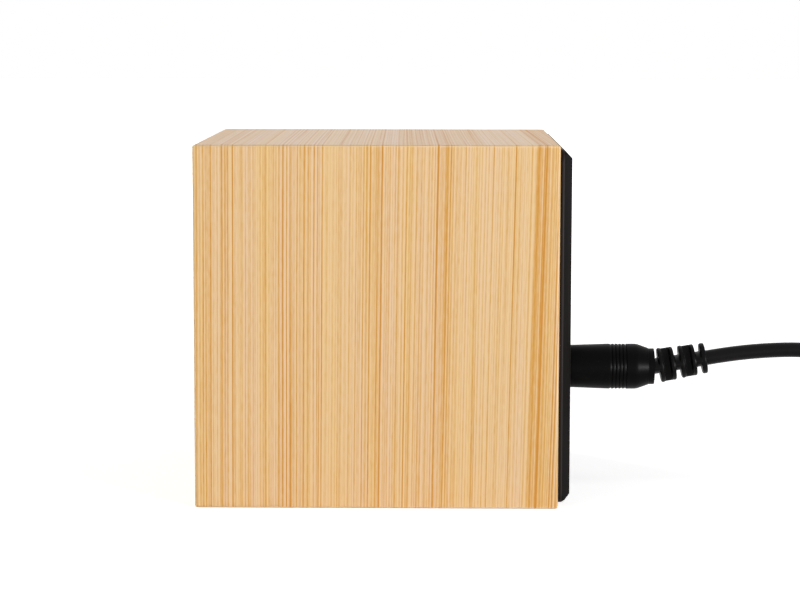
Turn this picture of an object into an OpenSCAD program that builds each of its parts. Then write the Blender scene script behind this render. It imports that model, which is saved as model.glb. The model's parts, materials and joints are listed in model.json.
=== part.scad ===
// Cube alarm clock: a bamboo case with a display behind its front veneer, and a rear cover that
// carries the battery box, the controls and the power socket. The lead is plugged in at the rear.
// X runs across the front, Y from front to rear and Z up. The origin is under the clock's middle.

/* [Case] */
// Width of the wooden case
case_w = 60; // [59:1:80]
// Height of the wooden case
case_h = 60; // [59:1:80]
// Depth of the wooden case, without the rear cover
case_d = 60; // [52:1:90]
// Thickness of the four mitred panels
panel_t = 4; // [3:0.25:4.25]
// Thickness of the front veneer
veneer_t = 0.6; // [0.4:0.1:1]
// Radius of the eased outer edges
edge_r = 0.5; // [0.2:0.1:1]
// Side of the square corner blocks that the rear cover is screwed to
block_w = 6; // [5.5:0.25:6.5]
// Length of the corner blocks
block_l = 9; // [6:0.5:12]

/* [Rear cover] */
// Thickness of the cover, which stands proud of the wood
cover_t = 2; // [1.8:0.1:3]
// Step from the wood's outer faces to the cover's edge
cover_inset = 0.7; // [0.3:0.1:1.2]
// Height of the straight wall below the chamfer
cover_rim = 0.6; // [0.3:0.1:1]
// Width of the chamfer
chamfer_w = 1.5; // [0.8:0.1:1.7]
// Corner radius of the cover's outline
cover_corner_r = 2; // [1:0.25:4]
// Thickness of the lip that locates the cover in the case
lip_t = 1.2; // [0.8:0.1:1.8]
// Depth of the lip
lip_l = 2.5; // [2:0.25:4]
// Gap round the lip
lip_gap = 0.15; // [0.05:0.05:0.3]
// Shank diameter of the cover screws
cover_screw_d = 2.2; // [1.8:0.1:2.6]
// Shank length of the cover screws
cover_screw_l = 9; // [6:0.5:11]
// Head diameter of the cover screws
cover_head_d = 4.2; // [3.6:0.1:5]
// Head thickness of the cover screws
cover_head_t = 1.1; // [0.8:0.1:1.2]

/* [Battery box] */
// Width of the free strip on each side of the box, for the controls and the sound parts
strip_w = 8.8; // [8.6:0.1:9.4]
// Gap between the box and the top and base panels
box_gap = 0.75; // [0.3:0.05:2]
// Gap between neighbouring cells
cell_gap = 0.3; // [0.2:0.05:0.4]
// Length that a fitted spring takes up
spring_l = 3.2; // [2.8:0.1:3.6]
// Wire diameter of the springs
spring_wire_d = 0.5; // [0.3:0.05:0.6]
// Mean diameter of the springs
spring_d = 5.6; // [4:0.2:7]
// Thickness of the contact plates
contact_t = 0.4; // [0.3:0.05:0.5]
// Wall thickness of the box
box_wall = 1; // [0.8:0.1:1.2]

/* [Battery door] */
// Thickness of the door
door_t = 1.6; // [1.2:0.1:1.7]
// Gap round the door
door_gap = 0.2; // [0.15:0.05:0.35]
// Diameter of the hinge pins
pin_d = 1; // [0.8:0.1:1]
// Length of the hinge pins beyond the door's edge
pin_l = 0.9; // [0.6:0.1:1]

/* [Controls] */
// Diameter of the buttons
button_d = 5; // [4:0.1:5.2]
// Distance between neighbouring buttons
button_pitch = 7; // [6.8:0.1:7.2]
// Height of the lowest button above the clock's middle
button_z = -0.5; // [-0.7:0.1:0]
// How far a button goes in
button_travel = 0.5; // [0.3:0.1:0.8]
// Side of the small switch bodies
switch_w = 4.5; // [4:0.1:4.6]
// Height of the small switch bodies above the board
switch_h = 2.6; // [2:0.1:3]
// Diameter of the switch plungers
plunger_d = 2.4; // [1.6:0.1:2.6]
// Thickness of all circuit boards
board_t = 1.6; // [0.8:0.1:1.6]
// Height of the sound switch's middle above the clock's middle
slider_z = 11; // [10:0.25:12]
// How far the sound switch's knob slides
slider_travel = 2; // [1.5:0.1:2.5]
// Height of the buzzer's middle above the clock's middle
buzzer_z = -8; // [-8.5:0.25:-7]
// Side of the buzzer
buzzer_w = 7.5; // [6:0.25:7.75]
// Height of the microphone's middle above the clock's middle
mic_z = 0; // [-1:0.25:0.5]

/* [Power socket and plug] */
// Height of the socket's axis above the clock's middle
jack_z = -7.3; // [-9:0.1:-7.2]
// Side of the socket's square housing
jack_w = 6.6; // [5.8:0.1:7]
// Length of the socket's housing, from the cover to the board
jack_l = 8.2; // [7.5:0.1:9]
// Outer diameter of the plug's barrel
barrel_d = 3.5; // [3:0.1:3.8]
// Length of the barrel that goes in
barrel_l = 9; // [8:0.1:9.4]
// Diameter of the socket's centre pin
jack_pin_d = 1.25; // [1:0.05:1.3]
// Diameter of the handle where it meets the cover
handle_root_d = 7.1; // [6:0.1:7.4]
// Diameter of the handle at its thickest
handle_d = 7.55; // [7:0.05:7.6]
// Length of the plain, slightly tapered part of the handle
handle_l = 6.6; // [5:0.1:9]
// Number of grooves round the handle
groove_count = 5; // [3:1:8]
// Distance between neighbouring grooves
groove_pitch = 0.6; // [0.5:0.05:0.8]
// Depth of the grooves
groove_depth = 0.1; // [0.05:0.05:0.4]
// Diameter of the strain relief where it leaves the handle
relief_d = 5.9; // [5:0.1:6.2]
// Diameter of the strain relief at its far end
relief_end_d = 5.1; // [4:0.1:5.4]
// Length of the strain relief
relief_l = 8.8; // [8:0.1:10]
// Upward tilt of the strain relief, in degrees
relief_tilt = 9.5; // [0:0.5:12]

/* [Lead] */
// Diameter of the cord
cord_d = 2.5; // [2:0.1:2.8]
// Radius of the coil at the middle of its turns
coil_r = 14.4; // [12:0.2:16]
// Clear gap between neighbouring turns of the coil
coil_gap = 0.45; // [0.42:0.01:0.6]
// Width of the tie round the coil
tie_w = 6; // [3:0.5:10]
// Thickness of the tie's strap
tie_t = 0.5; // [0.3:0.1:0.8]
// Width of the USB plug's grip
usb_w = 15.4; // [14:0.2:17]
// Thickness of the USB plug's grip
usb_h = 8; // [7:0.2:9]
// Length of the USB plug's grip
usb_l = 20; // [16:0.5:26]

/* [Display] */
// Height of a digit
digit_h = 16; // [12:0.5:24]
// Width of a digit
digit_w = 8.4; // [6:0.2:9]
// Distance between the two digits of a pair
digit_pitch = 10.8; // [10:0.1:11.4]
// Width of a segment
segment_w = 1.7; // [1.2:0.1:2]
// Thickness of the display mask
mask_t = 5; // [3:0.5:8]
// Thickness of the diffuser sheet
diffuser_t = 0.3; // [0.2:0.05:0.5]

/* [Hidden] */

// Fine round shapes, and steps of a quarter of an eased edge
$fn = 64;
edge_steps = 4;
// Overlap that keeps cuts clean, then the gaps of a fixed fit, a running fit, a loose fit and a glue line
cut = 1;
fixed_gap = 0.02;
running_gap = 0.05;
loose_gap = 0.2;
glue_gap = 0.01;

// Colours
bamboo = "burlywood";
black = "#201e1f";
soft_black = "#171617";
board_green = "#1f5a38";
steel = "silver";
gold = "goldenrod";

// Planes from front to rear
front_y = -(case_d + cover_t) / 2;
seat_y = front_y + case_d;
cover_y = seat_y + cover_t;
mask_y = front_y + veneer_t;
display_board_y = mask_y + mask_t;
display_back_y = display_board_y + board_t;
rear_board_y = seat_y - jack_l;
block_y = seat_y - lip_l;

// Inside of the case
in_w = case_w - 2 * panel_t;
in_h = case_h - 2 * panel_t;
mid_z = case_h / 2;
block_x = (in_w - block_w) / 2;
block_dz = (in_h - block_w) / 2;

// Battery box between the two strips, with the three cells that it has room for, standing side by side
box_w = in_w - 2 * strip_w;
box_h = in_h - 2 * box_gap;
bay_w = box_w - 2 * box_wall;
bay_h = box_h - 2 * box_wall;
cell_count = 3;
bay_gap = 0.15;
cell_d = (bay_w - (cell_count - 1) * cell_gap - 2 * bay_gap) / cell_count;
cell_l = bay_h - spring_l - 2 * contact_t;
cell_pitch = cell_d + cell_gap;
cell_to_cover = 0.3;
cell_y = seat_y - cell_to_cover - cell_d / 2;
bay_y = cell_y - cell_d / 2 - loose_gap;
box_y = bay_y - box_wall;
cell_button_d = 3.8;
cell_button_l = 1;
cell_shoulder = 0.5;

// Contact plates, one wide link and one single plate at each end of the bay
contact_w = 7;
contact_depth = 7.5;
lead_d = 1.2;
tab_w = 2;
tab_l = 1.2;

// Door, recessed a little, hinged at its lower edge
door_recess = 0.1;
door_w = bay_w - 2 * door_gap;
door_h = bay_h - 2 * door_gap;
door_y = cover_y - door_recess - door_t;
hinge_y = door_y + door_t / 2;
hinge_z = mid_z - door_h / 2 + door_t / 2;
tongue_w = 9;
tongue_l = 6;
slit_w = 0.6;
grip_groove_w = 0.5;
grip_groove_depth = 0.35;
grip_groove_pitch = 1.1;
grip_groove_count = 3;
scoop_r = 2.4;

// Middle of the strips, the boards on them and the heights of what they carry
strip_x = (in_w - strip_w) / 2;
button_height = mid_z + button_z;
jack_height = mid_z + jack_z;
slider_height = mid_z + slider_z;
buzzer_height = mid_z + buzzer_z;
mic_height = mid_z + mic_z;
board_gap = 0.35;
rear_board_w = strip_w - 2 * board_gap;
board_end_gap = 0.4;
rear_board_low = panel_t + block_w + board_end_gap;
rear_board_high = case_h - panel_t - block_w - board_end_gap;

// Posts on the cover that the rear boards are riveted to: distance from the strip's middle, height
post_d = 2.2;
rivet_d = 1.3;
rivet_hole_d = 1.5;
rivet_head_d = 2.3;
rivet_head_t = 0.5;
post_edge = 1.15;
post_low = 2.6;
post_places = [
  [0, rear_board_low + post_low],
  [rear_board_w / 2 - post_edge, button_height + button_pitch / 2]
];

// Buttons
button_gap = 0.2;
button_recess = 0.3;
flange_rim = 0.6;
flange_d = button_d + 2 * flange_rim;
flange_t = 0.8;
stop_gap = 0.05;
button_rest_y = rear_board_y + switch_h + 2 * button_travel;
dish_depth = 0.3;
dish_rim = 0.7;
dish_d = button_d - 2 * dish_rim;
plunger_root = 1.2;

// Sound switch
slider_body = [3.6, 4, 8.6];
knob_w = 1.8;
knob_root = 1.4;
knob_recess = 0.3;
knob_slot_gap = 0.3;
slider_pocket_depth = 0.9;
slider_pocket_rim = 1;

// Sound parts
buzzer_t = 2.5;
sound_hole_d = 1;
sound_ring_r = 2.2;
sound_ring_count = 6;
mic_d = 4;
mic_t = 2;

// Socket and plug
jack_bore_gap = 0.1;
jack_back = 1;
leaf_w = 1.2;
leaf_t = 0.25;
leaf_slot = 0.15;
leaf_short = 2.5;
barrel_root = 4;
barrel_wall = 0.4;
inner_wall = 0.27;
plug_hole_gap = 0.45;
handle_edge = 0.15;
band_l = 1.5;
cone_l = 2.1;
collar_l = 1;
collar_rim = 0.05;
collar_d = relief_d + 2 * collar_rim;
groove_first = handle_l;
groove_w = groove_pitch / 2;
band_y = groove_first + groove_count * groove_pitch;
handle_total = band_y + band_l + cone_l + collar_l;
relief_y = cover_y + handle_total;

// Strain relief: slots cut from above and below, and slots cut from both sides, by turns
relief_slots = 5;
relief_web = cord_d;
slot_share = 0.5;
relief_end = [strip_x, relief_y + relief_l * cos(relief_tilt), jack_height + relief_l * sin(relief_tilt)];

// Coil: four layers, spiralling in and out, from the top down
coil_layers = 4;
turns_per_layer = 2.125;
turn_back = 0.5;
rings_per_turn = 24;
coil_sides = 6;
coil_step = cord_d + coil_gap;
layer_turns = turns_per_layer + turn_back;
coil_turns = coil_layers * layer_turns - turn_back;
coil_out_r = coil_r + turns_per_layer * coil_step / 2;
coil_in_r = coil_r - turns_per_layer * coil_step / 2;
tie_gap = 0.2;
coil_low_z = tie_t + tie_gap + cord_d / 2;
coil_top_z = coil_low_z + (coil_layers - 1) * coil_step;
coil_run = 56.5;
coil_y = relief_end[1] + coil_run;
coil_x = strip_x - coil_out_r;

// Route of the cord from the strain relief to the coil: it rises, levels out and comes down to the coil
cord_sides = 8;
cord_steps = 16;
cord_straight = 2;
cord_rise_run = 13;
cord_start = relief_end + cord_straight * [0, cos(relief_tilt), sin(relief_tilt)];
cord_run = coil_y - 2 * cord_d - cord_start[1];
cord_peak = tan(relief_tilt) * cord_rise_run / 2;
cord_drop = cord_start[2] + cord_peak - coil_top_z;
function eased(t) = t * t * (3 - 2 * t);
function cord_lift(run) =
  let (r = min(run, cord_rise_run), fall = max(0, run - cord_rise_run) / (cord_run - cord_rise_run))
  tan(relief_tilt) * (r - r * r / (2 * cord_rise_run)) - cord_drop * eased(fall);
cord_route = concat(
  [relief_end],
  [for (i = [0 : cord_steps]) let (run = cord_run * i / cord_steps) cord_start + [0, run, cord_lift(run)]],
  [[strip_x, coil_y - cord_d, coil_top_z]]
);

// Route of the tail from the coil to the USB plug
usb_z = usb_h / 2;
usb_run = 19;
usb_nose_y = coil_y + usb_run;
tail_steps = 6;
tail_run = usb_run - 3 * cord_d;
tail_route = concat(
  [[strip_x, coil_y + cord_d, coil_low_z]],
  [for (i = [0 : tail_steps])
    [strip_x, coil_y + 2 * cord_d + tail_run * i / tail_steps,
      coil_low_z + (usb_z - coil_low_z) * eased(i / tail_steps)]],
  [[strip_x, usb_nose_y, usb_z]]
);

// USB plug
usb_nose_l = 5;
usb_nose_d = 5.6;
usb_nose_rim = 0.6;
usb_corner_r = 2;
usb_edge = 1;
usb_shell_w = 12;
usb_shell_h = 4.5;
usb_shell_t = 0.32;
usb_shell_l = 12;
usb_window_w = 2;
usb_window_l = 2.4;
usb_window_x = 2.6;
usb_window_y = 6;
usb_root = 4;
usb_tongue_t = 1.9;
usb_tongue_short = 1;
usb_contact_w = 1;
usb_contact_t = 0.2;
usb_contact_pitch = 2.3;
usb_contact_count = 4;
usb_face_y = usb_nose_y + usb_nose_l + usb_l;

// Display
mask_gap = 0.2;
mask_w = in_w - 2 * mask_gap;
mask_h = in_h - 2 * mask_gap;
display_board_gap = 0.3;
display_board_w = mask_w - 2 * display_board_gap;
display_board_h = mask_h - 2 * display_board_gap;
colon_d = 1.8;
colon_dz = digit_h / 5;
colon_room = 2.7;
inner_digit_x = colon_room + digit_w / 2;
digit_places = [-inner_digit_x - digit_pitch, -inner_digit_x, inner_digit_x, inner_digit_x + digit_pitch];
segment_gap = 0.35;
diffuser_rim = 0.6;
diffuser_w = 2 * (inner_digit_x + digit_pitch) + digit_w + 2 * diffuser_rim;
diffuser_h = digit_h + 2 * diffuser_rim;
led_size = [1.6, 0.7, 0.8];
display_screw_d = 1.6;
display_screw_l = 4;
display_head_d = 3.4;
display_head_t = 1.2;
display_screw_edge = 3;
display_screw_x = mask_w / 2 - display_screw_edge;
display_screw_dz = mask_h / 2 - display_screw_edge;

// Clock chip and crystal on the back of the display board
chip_size = [18, 2.3, 7.6];
chip_lift = 0.1;
chip_legs = 14;
chip_leg_pitch = 1.2;
chip_leg = [0.4, 1.2, 1.3];
chip_drop = 6;
chip_z = mid_z - digit_h / 2 - chip_drop;
crystal_d = 2;
crystal_l = 6;
crystal_x = 15;

// Ribbon cables and battery leads
ribbon_t = 0.8;
ribbon_sag = 4;
ribbon_straight = 2;
slack_steps = 14;
button_ribbon_w = 6;
sound_ribbon_w = 4;
ribbon_drop = 4;
ribbon_z = mid_z - ribbon_drop;
lead_sag = 1;
lead_sides = 6;

// Screw recesses: length and width of the cross, and its depth
cross_l = 2.2;
cross_w = 0.5;
cross_depth = 0.6;

// Points of an arc in a plane
function arc(x, y, r, from, to) =
  [for (i = [0 : edge_steps])
    let (a = from + (to - from) * i / edge_steps) [x + r * cos(a), y + r * sin(a)]];

function unit(v) = v / norm(v);

// Direction of a path at one of its points
function along(path, i) =
  unit(path[min(i + 1, len(path) - 1)] - path[max(i - 1, 0)]);

// Ring of points square to a path, with one side facing a given direction
function ring(centre, way, side, r, sides) =
  let (a = unit(cross(cross(way, side), way)), b = cross(way, a))
  [for (k = [0 : sides - 1]) centre + r * (cos(k * 360 / sides) * a + sin(k * 360 / sides) * b)];

// One unbroken tube along a path; faces_to gives the side direction at each point
module tube(path, faces_to, d, sides) {
  last = (len(path) - 1) * sides;
  points = [for (i = [0 : len(path) - 1]) each ring(path[i], along(path, i), faces_to[i], d / 2, sides)];
  walls = [
    for (i = [0 : len(path) - 2], k = [0 : sides - 1])
      let (a = i * sides + k, b = i * sides + (k + 1) % sides)
      each [[a, a + sides, b + sides], [a, b + sides, b]]
  ];
  first_cap = [for (k = [1 : sides - 2]) [0, k, k + 1]];
  last_cap = [for (k = [1 : sides - 2]) [last, last + k + 1, last + k]];
  polyhedron(points, concat(walls, first_cap, last_cap));
}

// Tube along a path that stays in a plane of constant X
module flat_route_tube(path, d, sides) {
  tube(path, [for (p = path) [1, 0, 0]], d, sides);
}

// Turns an upright shape so that its axis points to the rear
module to_rear() {
  rotate([-90, 0, 0]) children();
}

// Solid of revolution along Y, from [distance along Y, radius] points
module turned(profile) {
  to_rear() rotate_extrude() polygon([for (p = profile) [p[1], p[0]]]);
}

module rounded_square(w, h, r) {
  square([w - 2 * r, h], center = true);
  square([w, h - 2 * r], center = true);
  for (x = [-1, 1], y = [-1, 1])
    translate([x * (w / 2 - r), y * (h / 2 - r)]) circle(r);
}

// Plate with its middle at x and z, from y to y + t
module upright_plate(x, z, w, h, y, t) {
  translate([x - w / 2, y, z - h / 2]) cube([w, t, h]);
}

// Round bar along Y
module bar(x, z, d, y, l) {
  translate([x, y, z]) to_rear() cylinder(d = d, h = l);
}

// Pan-headed screw along Y with its head to the rear, seated at y
module screw(d, l, head_d, head_t) {
  difference() {
    union() {
      bar(0, 0, d, -l, l + head_t / 2);
      bar(0, 0, head_d, 0, head_t);
    }
    for (a = [0, 90])
      rotate([0, a, 0]) upright_plate(0, 0, cross_l, cross_w, head_t - cross_depth, cross_depth + cut);
  }
}

module at_corners(dx, dz) {
  for (x = [-1, 1], z = [-1, 1])
    translate([x * dx, 0, mid_z + z * dz]) children();
}

// Wooden case

// Panel lying flat with its outer face up, mitred at both sides and against the veneer in front
module mitred_panel(span) {
  across = concat(
    [[panel_t - span / 2, -panel_t]],
    arc(edge_r - span / 2, -edge_r, edge_r, 135, 90),
    arc(span / 2 - edge_r, -edge_r, edge_r, 90, 45),
    [[span / 2 - panel_t, -panel_t]]
  );
  lengthwise = concat(
    [[mask_y, -panel_t], [mask_y, -veneer_t]],
    arc(front_y + edge_r, -edge_r, edge_r, 135, 90),
    arc(seat_y - edge_r, -edge_r, edge_r, 90, 0),
    [[seat_y, -panel_t]]
  );
  intersection() {
    translate([0, seat_y, 0]) rotate([90, 0, 0]) linear_extrude(case_d) polygon(across);
    translate([-span / 2, 0, 0]) rotate([90, 0, 90]) linear_extrude(span) polygon(lengthwise);
  }
}

module top_panel() {
  color(bamboo) translate([0, 0, case_h]) mitred_panel(case_w - glue_gap);
}

module base_panel() {
  color(bamboo) rotate([0, 180, 0]) mitred_panel(case_w - glue_gap);
}

module left_panel() {
  color(bamboo) translate([-case_w / 2, 0, mid_z]) rotate([0, -90, 0]) mitred_panel(case_h - glue_gap);
}

module right_panel() {
  color(bamboo) translate([case_w / 2, 0, mid_z]) rotate([0, 90, 0]) mitred_panel(case_h - glue_gap);
}

// Section of the veneer, with its outer face at zero and bevelled edges
module veneer_section(span) {
  polygon(concat(
    [[veneer_t - span / 2, veneer_t]],
    arc(edge_r - span / 2, edge_r, edge_r, 225, 270),
    arc(span / 2 - edge_r, edge_r, edge_r, 270, 315),
    [[span / 2 - veneer_t, veneer_t]]
  ));
}

module front_veneer() {
  color(bamboo) translate([0, front_y, mid_z]) intersection() {
    linear_extrude(case_h, center = true) veneer_section(case_w - glue_gap);
    rotate([0, 90, 0]) linear_extrude(case_w, center = true) veneer_section(case_h - glue_gap);
  }
}

module corner_blocks() {
  color(bamboo) at_corners(block_x, block_dz) difference() {
    upright_plate(0, 0, block_w, block_w, block_y - block_l, block_l);
    bar(0, 0, cover_screw_d + 2 * fixed_gap, block_y - block_l - cut, block_l + 2 * cut);
  }
}

// Display

// Outline of one segment, lying along X
module segment(l) {
  end = l / 2 - segment_w / 2;
  polygon([
    [-l / 2, 0], [-end, segment_w / 2], [end, segment_w / 2],
    [l / 2, 0], [end, -segment_w / 2], [-end, -segment_w / 2]
  ]);
}

// Puts a child at each segment of a digit: flat ones lie along X, upright ones are turned
module at_segments() {
  dx = (digit_w - segment_w) / 2;
  dz = (digit_h - segment_w) / 4;
  for (z = [-2, 0, 2])
    translate([0, z * dz]) children(0);
  for (x = [-1, 1], z = [-1, 1])
    translate([x * dx, z * dz]) rotate(90) children(1);
}

module at_digits() {
  for (x = digit_places)
    translate([x, 0]) children();
}

module display_windows() {
  across = digit_w - segment_w - segment_gap;
  upright = (digit_h - segment_w) / 2 - segment_gap;
  at_digits() at_segments() {
    segment(across);
    segment(upright);
  }
  for (z = [-1, 1])
    translate([0, z * colon_dz]) circle(d = colon_d);
}

module diffuser_sheet() {
  color("whitesmoke") upright_plate(0, mid_z, diffuser_w, diffuser_h, mask_y, diffuser_t);
}

module display_mask() {
  color(black) difference() {
    upright_plate(0, mid_z, mask_w, mask_h, mask_y, mask_t);
    upright_plate(0, mid_z, diffuser_w + loose_gap, diffuser_h + loose_gap, mask_y - cut, diffuser_t + cut);
    translate([0, display_board_y + cut, mid_z])
      rotate([90, 0, 0]) linear_extrude(mask_t + 2 * cut) display_windows();
    at_corners(display_screw_x, display_screw_dz)
      bar(0, 0, display_screw_d + 2 * fixed_gap, display_board_y - display_screw_l, display_screw_l + cut);
  }
}

module display_board() {
  color(board_green) difference() {
    upright_plate(0, mid_z, display_board_w, display_board_h, display_board_y, board_t);
    at_corners(display_screw_x, display_screw_dz)
      bar(0, 0, display_screw_d + loose_gap, display_board_y - cut, board_t + 2 * cut);
  }
}

module display_screws() {
  color(steel) at_corners(display_screw_x, display_screw_dz)
    translate([0, display_back_y, 0])
      screw(display_screw_d, display_screw_l + board_t - loose_gap, display_head_d, display_head_t);
}

// Chip that lies in the plane of the display with its long side along X
module led_chip() {
  cube([led_size[0], led_size[2], led_size[1]], center = true);
}

module segment_leds() {
  color("lightyellow") translate([0, display_board_y - led_size[1] / 2, mid_z]) rotate([90, 0, 0]) {
    at_digits() at_segments() {
      led_chip();
      led_chip();
    }
    for (z = [-1, 1])
      translate([0, z * colon_dz]) led_chip();
  }
}

module clock_chip() {
  row = (chip_legs - 1) * chip_leg_pitch / 2;
  leg_z = chip_size[2] / 2 + chip_leg[2] / 2 - chip_leg[0] / 2;
  color(black) translate([0, display_back_y, chip_z]) {
    upright_plate(0, 0, chip_size[0], chip_size[2], chip_lift, chip_size[1]);
    for (i = [0 : chip_legs - 1], s = [-1, 1])
      upright_plate(i * chip_leg_pitch - row, s * leg_z, chip_leg[0], chip_leg[2], 0, chip_leg[1]);
  }
}

module clock_crystal() {
  color(steel) translate([crystal_x, display_back_y + crystal_d / 2 + fixed_gap, chip_z])
    rotate([0, 90, 0]) cylinder(d = crystal_d, h = crystal_l, center = true);
}

// Rear cover

// Section of the plate with its chamfered edges, lying with its inner face at zero
module cover_section(w) {
  polygon([
    [-w / 2, 0], [w / 2, 0], [w / 2, cover_rim], [w / 2 - chamfer_w, cover_t],
    [chamfer_w - w / 2, cover_t], [-w / 2, cover_rim]
  ]);
}

module cover_plate() {
  w = case_w - 2 * cover_inset;
  h = case_h - 2 * cover_inset;
  translate([0, seat_y, mid_z]) intersection() {
    translate([0, cover_t, 0]) rotate([90, 0, 0]) linear_extrude(cover_t)
      rounded_square(w, h, cover_corner_r);
    linear_extrude(h, center = true) cover_section(w);
    rotate([0, 90, 0]) linear_extrude(w, center = true) cover_section(h);
  }
}

module cover_lip() {
  w = in_w - 2 * lip_gap;
  h = in_h - 2 * lip_gap;
  difference() {
    upright_plate(0, mid_z, w, h, block_y, lip_l);
    upright_plate(0, mid_z, w - 2 * lip_t, h - 2 * lip_t, block_y - cut, lip_l + cut);
    upright_plate(strip_x, jack_height, jack_w + 2 * loose_gap, jack_w + 2 * loose_gap,
      block_y - cut, lip_l + cut);
    at_buttons() bar(0, 0, flange_d + 2 * loose_gap, block_y - cut, lip_l + cut);
  }
  at_corners(block_x - lip_gap, block_dz - lip_gap)
    upright_plate(0, 0, block_w, block_w, block_y, lip_l);
}

// Post with the rivet that holds a rear board
module board_post() {
  bar(0, 0, post_d, rear_board_y, jack_l);
  bar(0, 0, rivet_d, rear_board_y - board_t - rivet_head_t / 2, board_t + rivet_head_t);
  bar(0, 0, rivet_head_d, rear_board_y - board_t - rivet_head_t, rivet_head_t);
}

module at_posts(side) {
  for (p = post_places)
    translate([side * (strip_x + p[0]), 0, p[1]]) children();
}

module at_buttons() {
  for (i = [0 : 2])
    translate([strip_x, 0, button_height + i * button_pitch]) children();
}

// Places of the contacts: which end of the bay, first cell and last cell that a plate spans
contact_spans = [[1, 0, 0], [1, 1, 2], [-1, 0, 1], [-1, 2, 2]];
terminal_spans = [contact_spans[0], contact_spans[3]];
spring_places = [[-1, 0], [1, 1], [-1, 2]];
function cell_x(i) = (i - (cell_count - 1) / 2) * cell_pitch;
function terminal_x(span) = cell_x(span[1]);
function contact_z(end) = mid_z + end * (bay_h - contact_t) / 2;

// Slots in the box's front wall for the tabs of the two outer contacts
module tab_slots() {
  for (s = terminal_spans)
    upright_plate(terminal_x(s), contact_z(s[0]), tab_w + loose_gap, contact_t + loose_gap / 2,
      box_y - cut, box_wall + 2 * cut);
}

module hinge_hole() {
  reach = 2 * (door_w / 2 + pin_l + loose_gap);
  translate([0, hinge_y, hinge_z]) rotate([0, 90, 0])
    cylinder(d = pin_d + 2 * running_gap, h = reach, center = true);
}

module slider_cuts() {
  slot_h = knob_w + slider_travel + 2 * knob_slot_gap;
  slot_w = knob_w + 2 * knob_slot_gap;
  pocket_y = cover_y - slider_pocket_depth;
  upright_plate(-strip_x, slider_height, slot_w, slot_h, seat_y - cut, cover_t + 2 * cut);
  upright_plate(-strip_x, slider_height, slot_w + 2 * slider_pocket_rim, slot_h + 2 * slider_pocket_rim,
    pocket_y, slider_pocket_depth + cut);
}

module sound_holes() {
  through = cover_t + 2 * cut;
  bar(-strip_x, buzzer_height, sound_hole_d, seat_y - cut, through);
  for (i = [0 : sound_ring_count - 1]) {
    a = i * 360 / sound_ring_count;
    translate([sound_ring_r * cos(a), 0, sound_ring_r * sin(a)])
      bar(-strip_x, buzzer_height, sound_hole_d, seat_y - cut, through);
  }
  bar(-strip_x, mic_height, sound_hole_d, seat_y - cut, through);
}

module cover_screw_holes() {
  head_y = cover_y - cover_head_t - loose_gap;
  at_corners(block_x, block_dz) {
    bar(0, 0, cover_screw_d + 2 * loose_gap, block_y - cut, cover_t + lip_l + 2 * cut);
    bar(0, 0, cover_head_d + 2 * loose_gap, head_y, cover_head_t + loose_gap + cut);
  }
}

module rear_cover() {
  color(black) difference() {
    union() {
      cover_plate();
      cover_lip();
      upright_plate(0, mid_z, box_w, box_h, box_y, seat_y - box_y);
      for (side = [-1, 1])
        at_posts(side) board_post();
    }
    upright_plate(0, mid_z, bay_w, bay_h, bay_y, cover_y - bay_y + cut);
    tab_slots();
    hinge_hole();
    translate([0, cover_y + scoop_r / 2, mid_z + bay_h / 2])
      rotate([0, 90, 0]) cylinder(r = scoop_r, h = tongue_w, center = true);
    at_buttons() bar(0, 0, button_d + 2 * button_gap, seat_y - cut, cover_t + 2 * cut);
    bar(strip_x, jack_height, barrel_d + 2 * plug_hole_gap, seat_y - cut, cover_t + 2 * cut);
    slider_cuts();
    sound_holes();
    cover_screw_holes();
  }
}

module cover_screws() {
  head_y = cover_y - cover_head_t - loose_gap;
  color(steel) at_corners(block_x, block_dz)
    translate([0, head_y, 0]) screw(cover_screw_d, cover_screw_l, cover_head_d, cover_head_t);
}

// Battery door, box and cells

module battery_door() {
  top_z = mid_z + door_h / 2;
  color(black) difference() {
    union() {
      translate([-door_w / 2, door_y, hinge_z]) cube([door_w, door_t, top_z - hinge_z]);
      translate([0, hinge_y, hinge_z]) rotate([0, 90, 0]) {
        cylinder(d = door_t, h = door_w, center = true);
        cylinder(d = pin_d, h = door_w + 2 * pin_l, center = true);
      }
    }
    for (s = [-1, 1])
      upright_plate(s * tongue_w / 2, top_z, slit_w, 2 * tongue_l, door_y - cut, door_t + 2 * cut);
    for (i = [1 : grip_groove_count])
      upright_plate(0, top_z - i * grip_groove_pitch, tongue_w - 3 * slit_w, grip_groove_w,
        door_y + door_t - grip_groove_depth, cut);
  }
}

// Cell standing up with its button on top
module cell() {
  r = cell_d / 2;
  can_l = cell_l - cell_button_l;
  rotate_extrude() polygon([
    [0, 0], [r - cell_shoulder, 0], [r, cell_shoulder],
    [r, can_l - cell_shoulder], [r - cell_shoulder, can_l],
    [cell_button_d / 2, can_l], [cell_button_d / 2, cell_l], [0, cell_l]
  ]);
}

module battery_cells() {
  inner = bay_h / 2 - contact_t;
  color("darkseagreen") for (p = spring_places)
    translate([cell_x(p[1]), cell_y, mid_z + p[0] * inner])
      rotate([p[0] > 0 ? 180 : 0, 0, 0]) translate([0, 0, spring_l]) cell();
}

// Spring from a contact plate to a cell's flat end, standing up; its two ends run straight
spring_turns = 2;
spring_rings = 8;
spring_sides = 6;
module spring() {
  steps = spring_turns * spring_rings;
  low = 2 * spring_wire_d;
  rise = spring_l - 2 * low;
  angles = concat([0], [for (i = [0 : steps]) i * 360 / spring_rings], [steps * 360 / spring_rings]);
  heights = concat([0], [for (i = [0 : steps]) low + rise * i / steps], [spring_l]);
  path = [for (i = [0 : steps + 2])
    [spring_d / 2 * cos(angles[i]), spring_d / 2 * sin(angles[i]), heights[i]]];
  tube(path, [for (a = angles) [cos(a), sin(a), 0]], spring_wire_d, spring_sides);
}

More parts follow.
